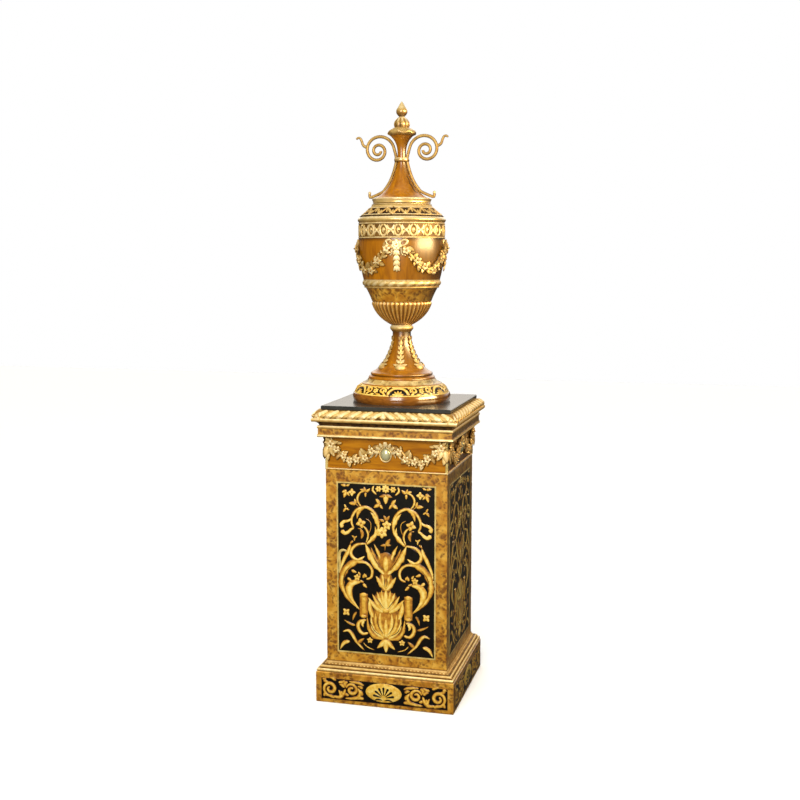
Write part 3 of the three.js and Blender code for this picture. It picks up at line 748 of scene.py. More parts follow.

# A pale strip lies at the left edge of the front panel, and a pale speck at its right edge.
pale_marks = blank()
edge = [(-118, 458), (-130, 463), (-141, 456), (-143, 436), (-141, 418), (-143, 392)]
stroke(pale_marks, edge, ribbon_form(4.2, 0.6), INLAY_RISE + 0.4)
bead(pale_marks, (143, 384), 2.5, 5, INLAY_RISE)
lay(pale_marks, shaft_side, lift=PANEL_THICK)
finished(pale_marks, "shaft_marquetry_pale_strip", [boxwood])

# Frieze: a plain band of figured satinwood over a thin gilt fillet, with a pale string let into each
# corner. Satinwood is laid with its grain level and polished to a warm orange gold.
CORNER_STRING = 4.4
STRING_SUNK = 1.5


def polished_wood(tree, dark, light, grain, run, roughness, gloss, hollow_shade=""):
    """French-polished cabinet wood: long streaks along the run of its grain under a clear gloss. A turned
    piece gets painted shade, dark brown in its hollows, at its joints and under the parts above it, where
    its relief tone is low."""
    place = add(tree, "TexCoord").outputs["Object"]
    drawn = add(tree, "Mapping", {"Vector": place, "Scale": run})
    figure = {"Vector": drawn, "Scale": 1 / (grain * MM), "Detail": 6.0, "Distortion": 0.6}
    streaks = add(tree, "TexNoise", figure)
    colour = add(tree, "ValToRGB", {"Fac": streaks}, ramp=[(0.3, dark), (0.7, light)])
    if hollow_shade:
        relief = add(tree, "Attribute", attribute_name="relief").outputs["Fac"]
        unshaded = add(tree, "MapRange", {"Value": relief, "From Max": 0.6, "To Min": 0.2})
        colour = add(tree, "Mix", {0: unshaded, 6: linear(hollow_shade), 7: colour}, data_type="RGBA").outputs[2]
    return {
        "Base Color": colour,
        "Roughness": roughness,
        "Specular IOR Level": 0.25,
        "Coat Weight": 0.9,
        "Coat Roughness": gloss,
    }


satinwood = finish("satinwood", polished_wood, "#925603", "#be7c0d", 10, (0.15, 0.15, 1.0), 0.3, 0.12)
refinish("frieze", satinwood)
frieze_half, frieze_foot, frieze_top = span("frieze")
half, foot, top = span("shaft_fillet")
fillet = turned(
    (0, foot),
    (half - 1, foot, 0.4),
    ((half + 0.5, foot + 2), (half - 1, top, 1.0)),
    (0, top),
    sides=SQUARE,
)
finished(fillet, "gilt_shaft_fillet", [gilt], ["shaft_fillet"])

strings = blank()
corner = frieze_half - STRING_SUNK
for x, y in ((corner, -corner), (corner, corner), (-corner, corner), (-corner, -corner)):
    post = bmesh.ops.create_cone(
        strings, cap_ends=True, segments=10, radius1=CORNER_STRING, radius2=CORNER_STRING,
        depth=frieze_top - frieze_foot,
    )
    bmesh.ops.translate(strings, vec=(x, y, (frieze_foot + frieze_top) / 2), verts=post["verts"])
finished(strings, "frieze_corner_strings", [boxwood])

# Frieze garlands: cast and chased gilt mounts pinned to each side of the frieze. Two swags of flowers
# and leaves hang from corner sprays and meet in an arch of leaves over an oval silvered boss.
BOSS_HIGH = 754
BOSS_HALF = (15, 19)


def festoon(bm, points, flowers, size, seed):
    """A cast swag: a stem hung with leaves to both sides, open flowers and berries."""
    draw = random.Random(seed)
    line = [Vector((*p, 0.0)) for p in points]
    length = sum((b - a).length for a, b in zip(line, line[1:]))
    stroke(bm, points, ribbon_form(0.3 * size, 0.6), 0.4 * size, tones=(0.1, 0.7))
    count = round(length / (0.36 * size))
    for k in range(count):
        place, heading = along(line, (k + 0.5) / count)
        side = 1 if k % 2 else -1
        turn = math.degrees(math.atan2(heading.y, heading.x)) + side * draw.uniform(20, 100)
        long = size * draw.uniform(0.65, 1.15)
        leaf(bm, place, turn, long, 0.34 * long, 0.34 * size, bend=side * 0.12 * long,
             lift=(0.1 * size, size * draw.uniform(0.1, 0.4)), tones=(0.05, draw.uniform(0.45, 0.95)))
    for k in range(flowers):
        place, _ = along(line, (k + 0.5) / flowers)
        spot = (place.x + draw.uniform(-0.2, 0.2) * size, place.y + draw.uniform(-0.3, 0.3) * size)
        turn = draw.uniform(0, 72)
        flower(bm, spot, 0.56 * size, 0.3 * size, turn=turn, lift=0.3 * size, plump=0.46)
    for k in range(2 * flowers):
        place, _ = along(line, draw.random())
        spot = (place.x + draw.uniform(-0.5, 0.5) * size, place.y + draw.uniform(-0.6, 0.6) * size)
        bead(bm, spot, 0.15 * size, 0.15 * size, 0.4 * size, lift=0.1 * size, fine=9)


def oval(at, half_wide, half_tall):
    """Points round an oval, from its top."""
    turns = [math.radians(30 * k) for k in range(13)]
    return [(at[0] + half_wide * math.sin(turn), at[1] + half_tall * math.cos(turn)) for turn in turns]


def silvering(tree):
    """Silvered and lacquered metal with a soft shine: a pale greenish pearl, paler on its crown as painted
    highlight and olive at its edge as painted shade.
    """
    relief = add(tree, "Attribute", attribute_name="relief").outputs["Fac"]
    colour = add(tree, "ValToRGB", {"Fac": relief}, ramp=[(0.1, "#6d6236"), (0.9, "#cfcca0")])
    return {"Base Color": colour, "Metallic": 0.35, "Roughness": 0.28}


garland = blank()
festoon(
    garland,
    [(156, 770), (140, 752), (118, 739), (94, 735), (72, 742), (54, 758), (38, 776)],
    flowers=6, size=22, seed=3,
)
for root, angle, long in (
    ((166, 784), 40, 22), ((166, 784), 100, 16), ((166, 784), 170, 26), ((168, 780), 255, 34),
    ((172, 776), 285, 40), ((160, 778), 225, 26), ((170, 782), 0, 16), ((176, 760), 262, 30),
    ((150, 786), 185, 20), ((164, 764), 240, 24),
):
    leaf(garland, root, angle, long, 0.32 * long, 5, bend=2, lift=(2, 8), tones=(0.1, 0.85))
flower(garland, (166, 779), 13, 7, lift=5, plump=0.5)
for k in range(4):
    angle = 86 - 24 * k
    root = (18 * math.cos(math.radians(angle)), BOSS_HIGH + 21 * math.sin(math.radians(angle)))
    leaf(garland, root, angle, 18, 7, 5, lift=(3, 8), tones=(0.3, 1.0))
stroke(garland, [(16, 782), (28, 768), (40, 750), (52, 738)], ribbon_form(4.4), 6)
stroke(garland, [(12, 778), (23, 760), (32, 742)], ribbon_form(3.8), 6)
mirrored(garland)
stroke(garland, oval((0, BOSS_HIGH), 17, 21), 2.6, 5, rings=36)
frieze_side = [(frieze_half, 0.0), (frieze_half, frieze_top)]
lay(garland, frieze_side)
finished_on_sides(garland, "gilt_frieze_garland", [gilt], "frieze_garland_")

boss = blank()
bead(boss, (0, BOSS_HIGH), *BOSS_HALF, 9.5, fine=24)
lay(boss, frieze_side)
silvered = finish("lacquered silvering", silvering)
finished_on_sides(boss, "silvered_boss", [silvered], "frieze_boss_")

# Cornice: mitred mouldings of wood. A burr band runs between two gilt fillets, a hollow above it, dark
# with painted shade, carries the gilt bed fillet, and the gadrooned frame stands on that.
FASCIA_HALF = 203
FASCIA_TOP = 834.5
FILLET_TALL = 8.5
BED_FOOT = 847


def banded(bm, index, low, high=math.inf):
    """Gives the faces between two heights the material of that index."""
    for face in bm.faces:
        if low < face.calc_center_median().z < high:
            face.material_index = index


half, foot, top = span("cornice")
cornice = turned(
    (0, foot),
    (FASCIA_HALF - 3, foot, 0.3),
    ((FASCIA_HALF + 1, foot + 1), (FASCIA_HALF, foot + 4, 1.0)),
    (FASCIA_HALF - 1, foot + FILLET_TALL, 0.5),
    (FASCIA_HALF - 2.5, foot + FILLET_TALL),
    (FASCIA_HALF - 2.5, FASCIA_TOP - FILLET_TALL),
    (FASCIA_HALF - 1, FASCIA_TOP - FILLET_TALL, 0.4),
    ((FASCIA_HALF + 1, FASCIA_TOP - 4), (FASCIA_HALF - 2, FASCIA_TOP, 1.0)),
    # The hollow's low relief tone paints shade into it.
    (FASCIA_HALF - 6, FASCIA_TOP, 0.1),
    ((FASCIA_HALF - 5, BED_FOOT - 3), (FASCIA_HALF + 8, BED_FOOT, 0.1)),
    (half - 2, BED_FOOT, 0.4),
    ((half + 0.5, BED_FOOT + 4), (half - 1, top, 1.0)),
    (0, top),
    sides=SQUARE,
)
banded(cornice, 1, foot + FILLET_TALL, FASCIA_TOP - FILLET_TALL)
finished(cornice, "banded_cornice", [gilt, burr], ["cornice"])

# Gadrooned frame: a carved and gilt frame round the slab. Slanting gadroons lean away from the middle
# of each side, and a broad leaf covers each mitre.
GADROON_PITCH = 34
GADROON_LEAN = 19
GADROON_RISE = 3.2
GADROON_BEND = ((1, 0), (0.5, 0.35), (-0.4, 0.7), (-1, 0.97))
half, foot, top = span("gadroon_frame")
slab_half, _, _ = span("top_slab")
frame_line = outline(
    (half - 11, foot, 0.25),
    ((half + 0.5, foot + 7), (half - 9, foot + 14, 0.35)),
    ((half - 15, top - 1), (slab_half + 6, top - 1, 0.45)),
)
gadroons = turned((0, foot, 0.2), *frame_line, (0, top - 1, 0.2), sides=SQUARE)
run = run_of(frame_line)
lobes = blank()
for k in range(int((half - 30) / GADROON_PITCH * 2)):
    middle = (k + 1) * GADROON_PITCH / 2
    points = [(middle + x * GADROON_LEAN, up * run) for x, up in GADROON_BEND]
    if k % 2:
        stroke(lobes, points, lambda share: 5.5 - 2 * share, GADROON_RISE - 1, rings=10, tones=(0.35, 0.7))
    else:
        stroke(lobes, points, lambda share: 9.5 - 3 * share, GADROON_RISE, rings=10, tones=(0.35, 0.95))
mirrored(lobes)
leaf(lobes, (0, 0), 90, run, 11, GADROON_RISE, lobes=3, tones=(0.4, 1.0))
lay(lobes, frame_line)
join_on_sides(gadroons, lobes)
mitre_line = [(r * math.sqrt(2), z) for r, z, _ in frame_line]
reach = run_of(mitre_line)
corners = blank()
for angle, long in ((90, reach), (60, 0.95 * reach), (120, 0.95 * reach)):
    leaf(corners, (0, 1), angle, long, 11, 1.6, tones=(0.5, 1.0))
for v in corners.verts:
    v.co.z -= abs(v.co.x)
lay(corners, mitre_line)
join_on_sides(gadroons, spun(corners, 45))
finished(gadroons, "gilt_gadroon_frame", [gilt], ["gadroon_frame"])

# Top slab: a square slab of black stone, sawn, bevelled and polished like a mirror. It lies loose in its
# frame, held down by its own weight and the vase's.
SLAB_RAMP = [(0.35, "#2b2c29"), (0.75, "#3d3e39")]

# Polished black limestone: a mirror gloss over faint grey clouds, its near black lifted to dark grey by
# painted sheen.
limestone = finish("polished black limestone", figured, 60, 6.0, SLAB_RAMP, {"Roughness": 0.22, "IOR": 1.6})
refinish("top_slab", limestone)

# Vase foot: turned from one block. A walnut torus stands on the slab, a slope above it is inlaid with
# arches and leaves in an ebonised ground, and a burr band under a bead carries the stem.
ARCHES = 6
VASE_TURN = 10
SLOPE_FOOT = 917
SLOPE_TOP = 943
SLOPE_RADIUS = 119
SLOPE_MIDDLE = 132
BURR_TOP = 960
STEM_LIP = 94
FOOT_RISE = 1.4
# Dark brown painted where a turned piece's relief tone is low: painted shade under the parts above it, and
# dark joints.
HOLLOW_SHADE = "#3a1c04"
WALNUT = ("#6a3a0c", "#a4661e", 8, (0.3, 0.3, 1.0), 0.22, 0.16, HOLLOW_SHADE)
TURNED_SATINWOOD = ("#905402", "#ba7606", 14, (1.0, 1.0, 0.12), 0.3, 0.3, HOLLOW_SHADE)

# Walnut with a level grain, satinwood with its grain upright, and a paler burr whose lightness is painted
# sheen.
walnut = finish("walnut", polished_wood, *WALNUT)
turned_wood = finish("turned satinwood", polished_wood, *TURNED_SATINWOOD)
painted_sheen_burr = finish("burr walnut with painted sheen", burr_veneer, "#ac8a4a", "#ccae68", "#dfc88c", "#785628")
radius, foot, top = span("foot")
slope_line = outline(
    (radius - 7, SLOPE_FOOT + 1),
    ((SLOPE_RADIUS + 16, SLOPE_TOP - 5), (SLOPE_RADIUS + 1, SLOPE_TOP)),
)
vase_foot = turned(
    (0, foot),
    # The torus darkens at its foot as painted shade where it meets the slab.
    (radius - 5, foot, 0.2),
    ((radius + 2, (foot + SLOPE_FOOT) / 2), (radius - 4, SLOPE_FOOT, 1.0)),
    *slope_line,
    ((SLOPE_RADIUS + 2, SLOPE_TOP + 2), (SLOPE_RADIUS - 2, SLOPE_TOP + 4)),
    ((SLOPE_RADIUS - 14, SLOPE_TOP + 7), (STEM_LIP + 7, BURR_TOP)),
    (STEM_LIP + 5, BURR_TOP),
    ((STEM_LIP + 8, BURR_TOP + 4), (STEM_LIP + 2, BURR_TOP + 8)),
    (STEM_LIP - 2, top, 0.0),
    (0, top),
)
banded(vase_foot, 3, SLOPE_TOP)
banded(vase_foot, 1, SLOPE_FOOT + 1, SLOPE_TOP)
banded(vase_foot, 2, SLOPE_TOP + 4, BURR_TOP)
finished(vase_foot, "banded_foot", [walnut, ebony, painted_sheen_burr, turned_wood], ["foot"])


def string_round(bm, radius, up, half, high, tones):
    """A plain string round a band of that radius."""
    points = [(2 * math.pi * radius * k / 48, up) for k in range(49)]
    stroke(bm, points, half, high, rings=144, tones=tones)


pitch = 2 * math.pi * SLOPE_MIDDLE / ARCHES
arch = [(-30, 3), (-25, 16), (-11, 27), (11, 27), (25, 16), (30, 3)]
coil = spiral((46, 18), 11, 215, -1.2, 0.25)
arches = blank()
for k in range(ARCHES):
    middle = k * pitch + math.radians(VASE_TURN) * SLOPE_MIDDLE
    stroke(arches, [(middle + x, y) for x, y in arch], 4.4, FOOT_RISE, tones=(0.3, 0.95), shade=0.3)
    for angle in (20, 55, 90, 125, 160):
        leaf(arches, (middle, 2), angle, 18, 4.0, FOOT_RISE, tones=(0.15, 0.85))
    flower(arches, (middle + pitch / 2, 17), 10, FOOT_RISE, petals=6, tones=(0.2, 0.95))
    for hand in (1, -1):
        stroke(arches, [(middle + hand * x, y) for x, y in coil], 3.4, FOOT_RISE, tones=(0.2, 0.9))
        for x, y, angle, long in (
            (34, 30, 10, 18), (36, 3, 40, 14), (50, 3, 15, 18), (54, 32, 340, 14), (30, 24, 60, 12),
        ):
            turn = angle if hand > 0 else 180 - angle
            leaf(arches, (middle + hand * x, y), turn, long, 4.2, FOOT_RISE, tones=(0.1, 0.9), shade=0.3)
for edge in (1.5, run_of(slope_line) - 2):
    string_round(arches, SLOPE_MIDDLE, edge, 2.2, 1.2, (0.5, 0.95))
lay(arches, slope_line, round_at=SLOPE_MIDDLE)
finished(arches, "foot_marquetry", [inlay])

# Stem: a trumpet turned from satinwood, polished. Six gilt husk chains are pinned down it, each ending
# in a bud between two leaves.
HUSKS = 6
HUSK_FOOT = 30
HUSK_ROUND = 44
STEM_NECK = 27.5
FLARE_FOOT = 978
FLARE_TOP = 1070
radius, foot, top = span("stem")
flare_line = outline(
    (radius - 4, FLARE_FOOT),
    ((48, FLARE_FOOT + 20), (STEM_NECK, FLARE_TOP, 0.4)),
    # The neck darkens to painted shade under the collar.
    (STEM_NECK, top, 0.0),
)
stem = turned(
    (0, foot),
    (radius - 2, foot, 0.0),
    ((radius + 2, foot + 4), (radius - 3, FLARE_FOOT)),
    *flare_line,
    (0, top),
)
finished(stem, "turned_stem", [turned_wood], ["stem"])

husk_run = run_of(flare_line)
for number in range(1, HUSKS + 1):
    husk = blank()
    stroke(husk, [(0, HUSK_FOOT + 10), (0, husk_run / 2), (0, husk_run - 4)], 3.4, 3.5)
    for k in range(6):
        up = HUSK_FOOT + 14 + k * (husk_run - HUSK_FOOT - 26) / 6
        for angle in (52, 128):
            # Higher leaves are a little darker: painted shade under the collar.
            leaf(husk, (0, up), angle, 17, 5.6, 3.4, lift=(1.5, 3), tones=(0.2, 0.9 - 0.06 * k))
        bead(husk, (0, up + 2), 3.6, 4.5, 4.6, tones=(0.35, 0.8), fine=9)
    for angle in (35, 145):
        leaf(husk, (0, HUSK_FOOT - 2), angle, 20, 6.5, 3.6, bend=(90 - angle) / 18, lift=(1, 3),
             tones=(0.3, 0.95))
    bead(husk, (0, HUSK_FOOT + 1), 11, 13, 7, tones=(0.3, 0.9))
    lay(husk, flare_line, round_at=HUSK_ROUND)
    spun(husk, VASE_TURN + 360 / HUSKS * (number - 1))
    finished(husk, f"gilt_husk_chain_{number}", [gilt], [f"stem_leaf_{number}"])

# Collar and cup: the collar is a turned gilt ring. The cup is cast, with forty gadroons that end in
# round heads under the body, chased and lacquered.
CUP_LOBES = 40
LOBE_SIDES = 8
LOBE_DEPTH = 3.6
LOBE_HEAD = 0.8
WALL = 11
CUP_FOOT_RADIUS = 34
AMBER_RAMP = [(0.0, "#3a1c03"), (1.0, "#f8dfa4"), (0.36, "#9e681e"), (0.7, "#d39c40")]
radius, foot, top = span("stem_collar")
collar = turned(
    (0, foot),
    (STEM_NECK + 2, foot, 0.3),
    (STEM_NECK + 3, foot + 3, 0.3),
    ((radius + 3, foot + 10), (STEM_NECK + 4, top - 3, 1.0)),
    (STEM_NECK + 3, top, 0.1),
    (0, top),
)
finished(collar, "gilt_stem_collar", [gilt], ["stem_collar"])

cup_radius, foot, top = span("gadroon_cup")
cup = turned(
    (0, foot),
    (CUP_FOOT_RADIUS, foot, 0.3),
    ((cup_radius - 14, foot + 22), (cup_radius - 1, top - 11)),
    ((cup_radius + 1, top - 6), (cup_radius - 2, top - 2)),
    (cup_radius - 4, top),
    (cup_radius - WALL, top),
    (cup_radius - WALL, top - 7),
    ((cup_radius - 14 - WALL, foot + 24), (CUP_FOOT_RADIUS - WALL, foot + WALL)),
    (0, foot + WALL),
    sides=CUP_LOBES * LOBE_SIDES,
)
relief = cup.verts.layers.float["relief"]
for v in cup.verts:
    radius = math.hypot(v.co.x, v.co.y)
    up = (v.co.z - foot) / (top - foot)
    # The foot and the inside of the wall stay plain.
    if radius < CUP_FOOT_RADIUS or radius < cup_radius * (0.42 + 0.5 * up):
        continue
    hollow = abs(math.cos(CUP_LOBES / 2 * math.atan2(v.co.x, -v.co.y)))
    sink = LOBE_DEPTH * hollow**3 * min(1.0, 4 * up)
    v.co.x *= 1 - sink / radius
    v.co.y *= 1 - sink / radius
    head = max(0.0, up - LOBE_HEAD) / (1 - LOBE_HEAD)
    # Grooves between the gadroons darken as painted shade, and the round heads pale as painted highlight.
    v[relief] = (0.8 + 0.2 * head) * (1 - (0.75 - 0.45 * head) * hollow**2)
# Gilding under an amber lacquer, warmer than the other mounts.
lacquered = finish("lacquered gilding", gilding, AMBER_RAMP, 0.4, 0.3, 0.6, 0.4)
finished(cup, "gilt_gadroon_cup", [lacquered], ["gadroon_cup"])

# Body: one turned shell, hollow from the cup to the mouth. A burr band fills the hollow curve below the
# girdle, and the swelling part above it is satinwood polished to a high gloss.
GIRDLE_FOOT = 1231
GIRDLE_TOP = 1256
GIRDLE_SEAT = 107.5
SWELL_FOOT_RADIUS = 114.5
SWELL_RADIUS = 128
SWELL_TOP = 1376
GALLERY_SEAT = 122
_, foot, top = span("vase_body")
swell_line = outline(
    (SWELL_FOOT_RADIUS, GIRDLE_TOP),
    ((SWELL_RADIUS + 3, (GIRDLE_TOP + SWELL_TOP) / 2 + 4), (SWELL_RADIUS, SWELL_TOP - 14)),
    # The swell darkens at its top as painted shade under the gallery.
    (SWELL_RADIUS, SWELL_TOP, 0.0),
)
body = turned(
    (cup_radius - WALL, foot),
    (cup_radius - 1, foot),
    ((cup_radius + 6, foot + 20), (GIRDLE_SEAT, GIRDLE_FOOT)),
    (GIRDLE_SEAT, GIRDLE_TOP),
    *swell_line,
    (GALLERY_SEAT, SWELL_TOP),
    (GALLERY_SEAT, top),
    (SWELL_RADIUS - WALL, top),
    (SWELL_RADIUS - WALL, SWELL_TOP - 30),
    (GIRDLE_SEAT - WALL, GIRDLE_FOOT),
    (cup_radius - WALL, foot),
)
banded(body, 1, 0, GIRDLE_FOOT)
finished(body, "turned_body", [turned_wood, burr], ["vase_body"])

# Girdle: a ring of wood carved in low relief as a twisted ribbon and gilt. It is slipped up the body
# from below and sits where the hollow curve meets the swell.
TWISTS = 26
TWIST_BEND = ((-13, 0), (-4, 0.35), (5, 0.7), (13, 1))
SEAT_GAP = 0.3
radius, foot, top = span("girdle_ring")
girdle_line = outline(
    (GIRDLE_SEAT + 5, foot + 6, 0.5),
    ((radius + 2, foot + 13), (radius - 5, top - 3, 0.8)),
)
girdle = turned(
    (GIRDLE_SEAT + SEAT_GAP, foot),
    (GIRDLE_SEAT + 4, foot, 0.8),
    ((GIRDLE_SEAT + 6, foot + 2), (GIRDLE_SEAT + 4, foot + 5, 0.4)),
    *girdle_line,
    (radius - 4, top, 0.9),
    (GIRDLE_SEAT + SEAT_GAP, top),
    (GIRDLE_SEAT + SEAT_GAP, foot),
)
run = run_of(girdle_line)
pitch = 2 * math.pi * radius / TWISTS
twist = blank()
for k in range(TWISTS):
    points = [(k * pitch + x, share * run) for x, share in TWIST_BEND]
    stroke(twist, points, ribbon_form(8, 0.5), 0.7, tones=(0.5, 0.9))
lay(twist, girdle_line, round_at=radius)
join(girdle, twist)
finished(girdle, "gilt_girdle_ring", [gilt], ["girdle_ring"])

# Gallery: a cast gilt band round the mouth. Oval rings with a pearl in each stand between pairs of leaves
# that bend round them, over a matted ground between two plain edges. A dark bead on each pearl is painted
# shade for a piercing, and the ground's low tone is painted shade between the motifs.
RINGS = 18
LEAF_PAIR = (58, 122)
radius, foot, top = span("gallery_band")
ground_line = outline((radius - 4, foot + 4, 0.22), (radius - 4, top - 4, 0.22))
gallery = turned(
    (GALLERY_SEAT + SEAT_GAP, foot),
    (radius - 1, foot, 0.9),
    ((radius + 1, foot + 2), (radius - 1, foot + 4, 0.8)),
    *ground_line,
    (radius - 1.5, top - 4, 0.8),
    ((radius, top - 2), (radius - 2, top, 0.9)),
    (GALLERY_SEAT + SEAT_GAP, top),
    (GALLERY_SEAT + SEAT_GAP, foot),
)
tall = run_of(ground_line)
pitch = 2 * math.pi * radius / RINGS
motifs = blank()
for k in range(RINGS):
    middle = k * pitch + math.radians(VASE_TURN) * radius
    stroke(motifs, oval((middle, tall / 2), 11, 15.5), 3.8, 3.4, rings=30, tones=(0.3, 0.9))
    bead(motifs, (middle, tall / 2), 6, 9, 2.6, tones=(0.4, 0.85), fine=15)
    # The dark bead is painted shade for the pearl's piercing.
    bead(motifs, (middle + 2, tall / 2 - 2), 3.2, 4.2, 2.8, tones=(0.1, 0.1), fine=9)
    knot = (middle + pitch / 2, tall / 2)
    for angle in LEAF_PAIR:
        lean = (angle - 90) / 9
        leaf(motifs, knot, angle, tall / 2 + 2, 4.4, 3.4, bend=lean, tones=(0.35, 0.95))
        leaf(motifs, knot, -angle, tall / 2 + 2, 4.4, 3.4, bend=-lean, tones=(0.35, 0.95))
    bead(motifs, knot, 4.5, 6.5, 4, tones=(0.5, 1.0), fine=9)
lay(motifs, ground_line, round_at=radius)
join(gallery, motifs)
finished(gallery, "gilt_gallery_band", [gilt], ["gallery_band"])

# Rosettes and swags: cast gilt mounts pinned round the body. Four rosettes with ribbon bows and hanging
# bell flowers stand a little to the right of the sides' middles, and a swag hangs from each to the next.
MOUNT_TURN = 8
ROSETTE_UP = 102
HANG = ((-0.76, 102), (-0.58, 70), (-0.3, 42), (0.0, 32), (0.3, 42), (0.58, 70), (0.76, 102))
BOW = ((8, 106), (20, 116), (31, 112), (24, 101), (8, 100))
TAIL = ((5, 96), (14, 88), (14, 78), (22, 70))
quarter_run = math.pi / 2 * SWELL_RADIUS
drop = blank()
flower(drop, (0, ROSETTE_UP), 18, 5, petals=7, lift=3, plump=0.45)
flower(drop, (0, ROSETTE_UP), 10, 4, petals=5, turn=60, lift=6, plump=0.5, tones=(0.3, 1.0))
for hand in (1, -1):
    for ribbon, wide, high in ((BOW, 4.6, 5), (TAIL, 4.0, 4)):
        stroke(drop, [(hand * x, y) for x, y in ribbon], ribbon_form(wide, 0.5), high)
for k in range(4):
    up = 80 - 15 * k
    for angle in (240, 270, 300):
        leaf(drop, (0, up + 8), angle, 19, 6, 5, lift=(3, 4.5), tones=(0.3, 1.0))
    bead(drop, (0, up + 7), 6.5, 5, 7, tones=(0.4, 1.0))
lay(drop, swell_line, round_at=SWELL_RADIUS)
finished_on_sides(drop, "gilt_rosette_drop", [gilt], "rosette_drop_", MOUNT_TURN)

for number in range(1, SQUARE + 1):
    swag = blank()
    points = [(quarter_run / 2 * (1 + x), y) for x, y in HANG]
    festoon(swag, points, flowers=6, size=22, seed=20 + number)
    lay(swag, swell_line, round_at=SWELL_RADIUS)
    spun(swag, MOUNT_TURN + 90 * (number - 1))
    finished(swag, f"gilt_flower_swag_{number}", [gilt], [f"swag_{number}"])

# Lid rim and shoulder: a turned gilt rim rests on the mouth. The shoulder is satinwood with a spigot
# below it, its slope gilt, with a band of leaves cut in relief over a ground painted dark as shade.
RIM_SEAT = 117
SHOULDER_RADIUS = 126
SHOULDER_TOP_RADIUS = 89
SPIGOT_RADIUS = 110
WAVES = 18
WAVE_STEPS = 8
BAND_ROUND = 110
radius, rim_foot, rim_top = span("lid_rim")
lid_rim = turned(
    (RIM_SEAT + SEAT_GAP, rim_foot),
    (radius - 5, rim_foot, 0.45),
    ((radius + 5, (rim_foot + rim_top) / 2 - 1), (radius - 5, rim_top - 2, 1.0)),
    (radius - 8, rim_top, 0.5),
    (RIM_SEAT + SEAT_GAP, rim_top),
    (RIM_SEAT + SEAT_GAP, rim_foot),
)
finished(lid_rim, "gilt_lid_rim", [burnished], ["lid_rim"])

_, foot, top = span("lid_shoulder")
shoulder_line = outline(
    # The band's ground has a low tone: painted shade between the leaves.
    (SHOULDER_RADIUS, rim_top, 0.0),
    ((SHOULDER_TOP_RADIUS + 10, rim_top + 17), (SHOULDER_TOP_RADIUS, top, 0.0)),
)
shoulder = turned(
    (0, rim_foot + 8),
    (SPIGOT_RADIUS - 14, rim_foot + 8),
    (SPIGOT_RADIUS - WALL, foot),
    (SPIGOT_RADIUS, foot),
    (SPIGOT_RADIUS, rim_foot),
    (RIM_SEAT, rim_foot),
    (RIM_SEAT, rim_top),
    *shoulder_line,
    (0, top),
)
band_line = shoulder_line[1:7]
banded(shoulder, 1, rim_top)
relief = shoulder.verts.layers.float["relief"]
for v in shoulder.verts:
    if v.co.z > band_line[-1][1]:
        v[relief] = 0.75
finished(shoulder, "gilt_lid_shoulder", [turned_wood, gilt], ["lid_shoulder"])

band_run = run_of(band_line)
pitch = 2 * math.pi * BAND_ROUND / WAVES
vine = blank()
wave = []
for k in range(WAVE_STEPS * WAVES + 1):
    up = 0.5 - 0.38 * math.cos(2 * math.pi * k / WAVE_STEPS)
    wave.append((k * pitch / WAVE_STEPS, band_run * up))
stroke(vine, wave, 2.6, 2.0, tones=(0.1, 0.7))
for k in range(2 * WAVES):
    crest = k % 2
    root = (k * pitch / 2, band_run * (0.12 + 0.76 * crest))
    for angle, long in ((48, 0.75), (84, 0.6), (128, 0.6)):
        turn = -angle if crest else angle
        leaf(vine, root, turn, long * band_run, 4.2, 2.0, bend=(90 - angle) / 18, tones=(0.1, 0.75))
    bead(vine, root, 3.2, 3.2, 2.6, tones=(0.3, 0.9), fine=9)
for edge in (0, band_run):
    string_round(vine, BAND_ROUND, edge, 2.0, 1.6, (0.5, 1.0))
lay(vine, band_line, round_at=BAND_ROUND)
finished(vine, "gilt_shoulder_vine", [gilt])

# Lid ring, spire and clasp: a gilt ring closes the shoulder, a trumpet of satinwood rises from it, and a
# narrow gilt band clasps the straps to its neck. A dark seam is drawn on the spire beside the right strap.
SPIRE_FOOT_RADIUS = 82
SPIRE_TOP_RADIUS = 34
NECK_RADIUS = 12.5
NECK_FOOT = 1600
NECK_TOP = 1625
CLASP_BORE = 16
CLASP_SIDES = 48
SEAM_ROUND = 40
DARK_SEAM = ((70, 27), (61, 38), (64, 52), (58, 64), (60, 77), (50, 90))
radius, foot, top = span("lid_ring")
lid_ring = turned(
    (0, foot),
    (SHOULDER_TOP_RADIUS - 1, foot, 0.2),
    ((SHOULDER_TOP_RADIUS + 2, foot + 2), (SHOULDER_TOP_RADIUS - 1, foot + 4, 1.0)),
    # Painted shade in the groove; the full tones above and below paint highlight.
    (SHOULDER_TOP_RADIUS - 5, foot + 5, 0.0),
    (SHOULDER_TOP_RADIUS - 3, foot + 7, 0.7),
    ((SHOULDER_TOP_RADIUS - 4, foot + 11), (SHOULDER_TOP_RADIUS - 2, foot + 15, 0.8)),
    ((radius, foot + 18), (SPIRE_FOOT_RADIUS + 4, top, 1.0)),
    (0, top),
)
finished(lid_ring, "gilt_lid_ring", [burnished], ["lid_ring"])

_, foot, top = span("spire")
spire_line = outline((SPIRE_FOOT_RADIUS, foot), ((30, foot + 21), (NECK_RADIUS, NECK_FOOT)))
spire = turned(
    (0, foot),
    *spire_line,
    (NECK_RADIUS, NECK_TOP),
    ((NECK_RADIUS, NECK_TOP + 33), (SPIRE_TOP_RADIUS, top)),
    (0, top),
)
seam = blank()
points = [(math.radians(angle) * SEAM_ROUND, up) for angle, up in DARK_SEAM]
stroke(seam, points, ribbon_form(4.2, 0.3), 0.6, tones=(0.0, 0.0))
lay(seam, spire_line, round_at=SEAM_ROUND)
join(spire, seam)
finished(spire, "turned_spire", [turned_wood], ["spire"])

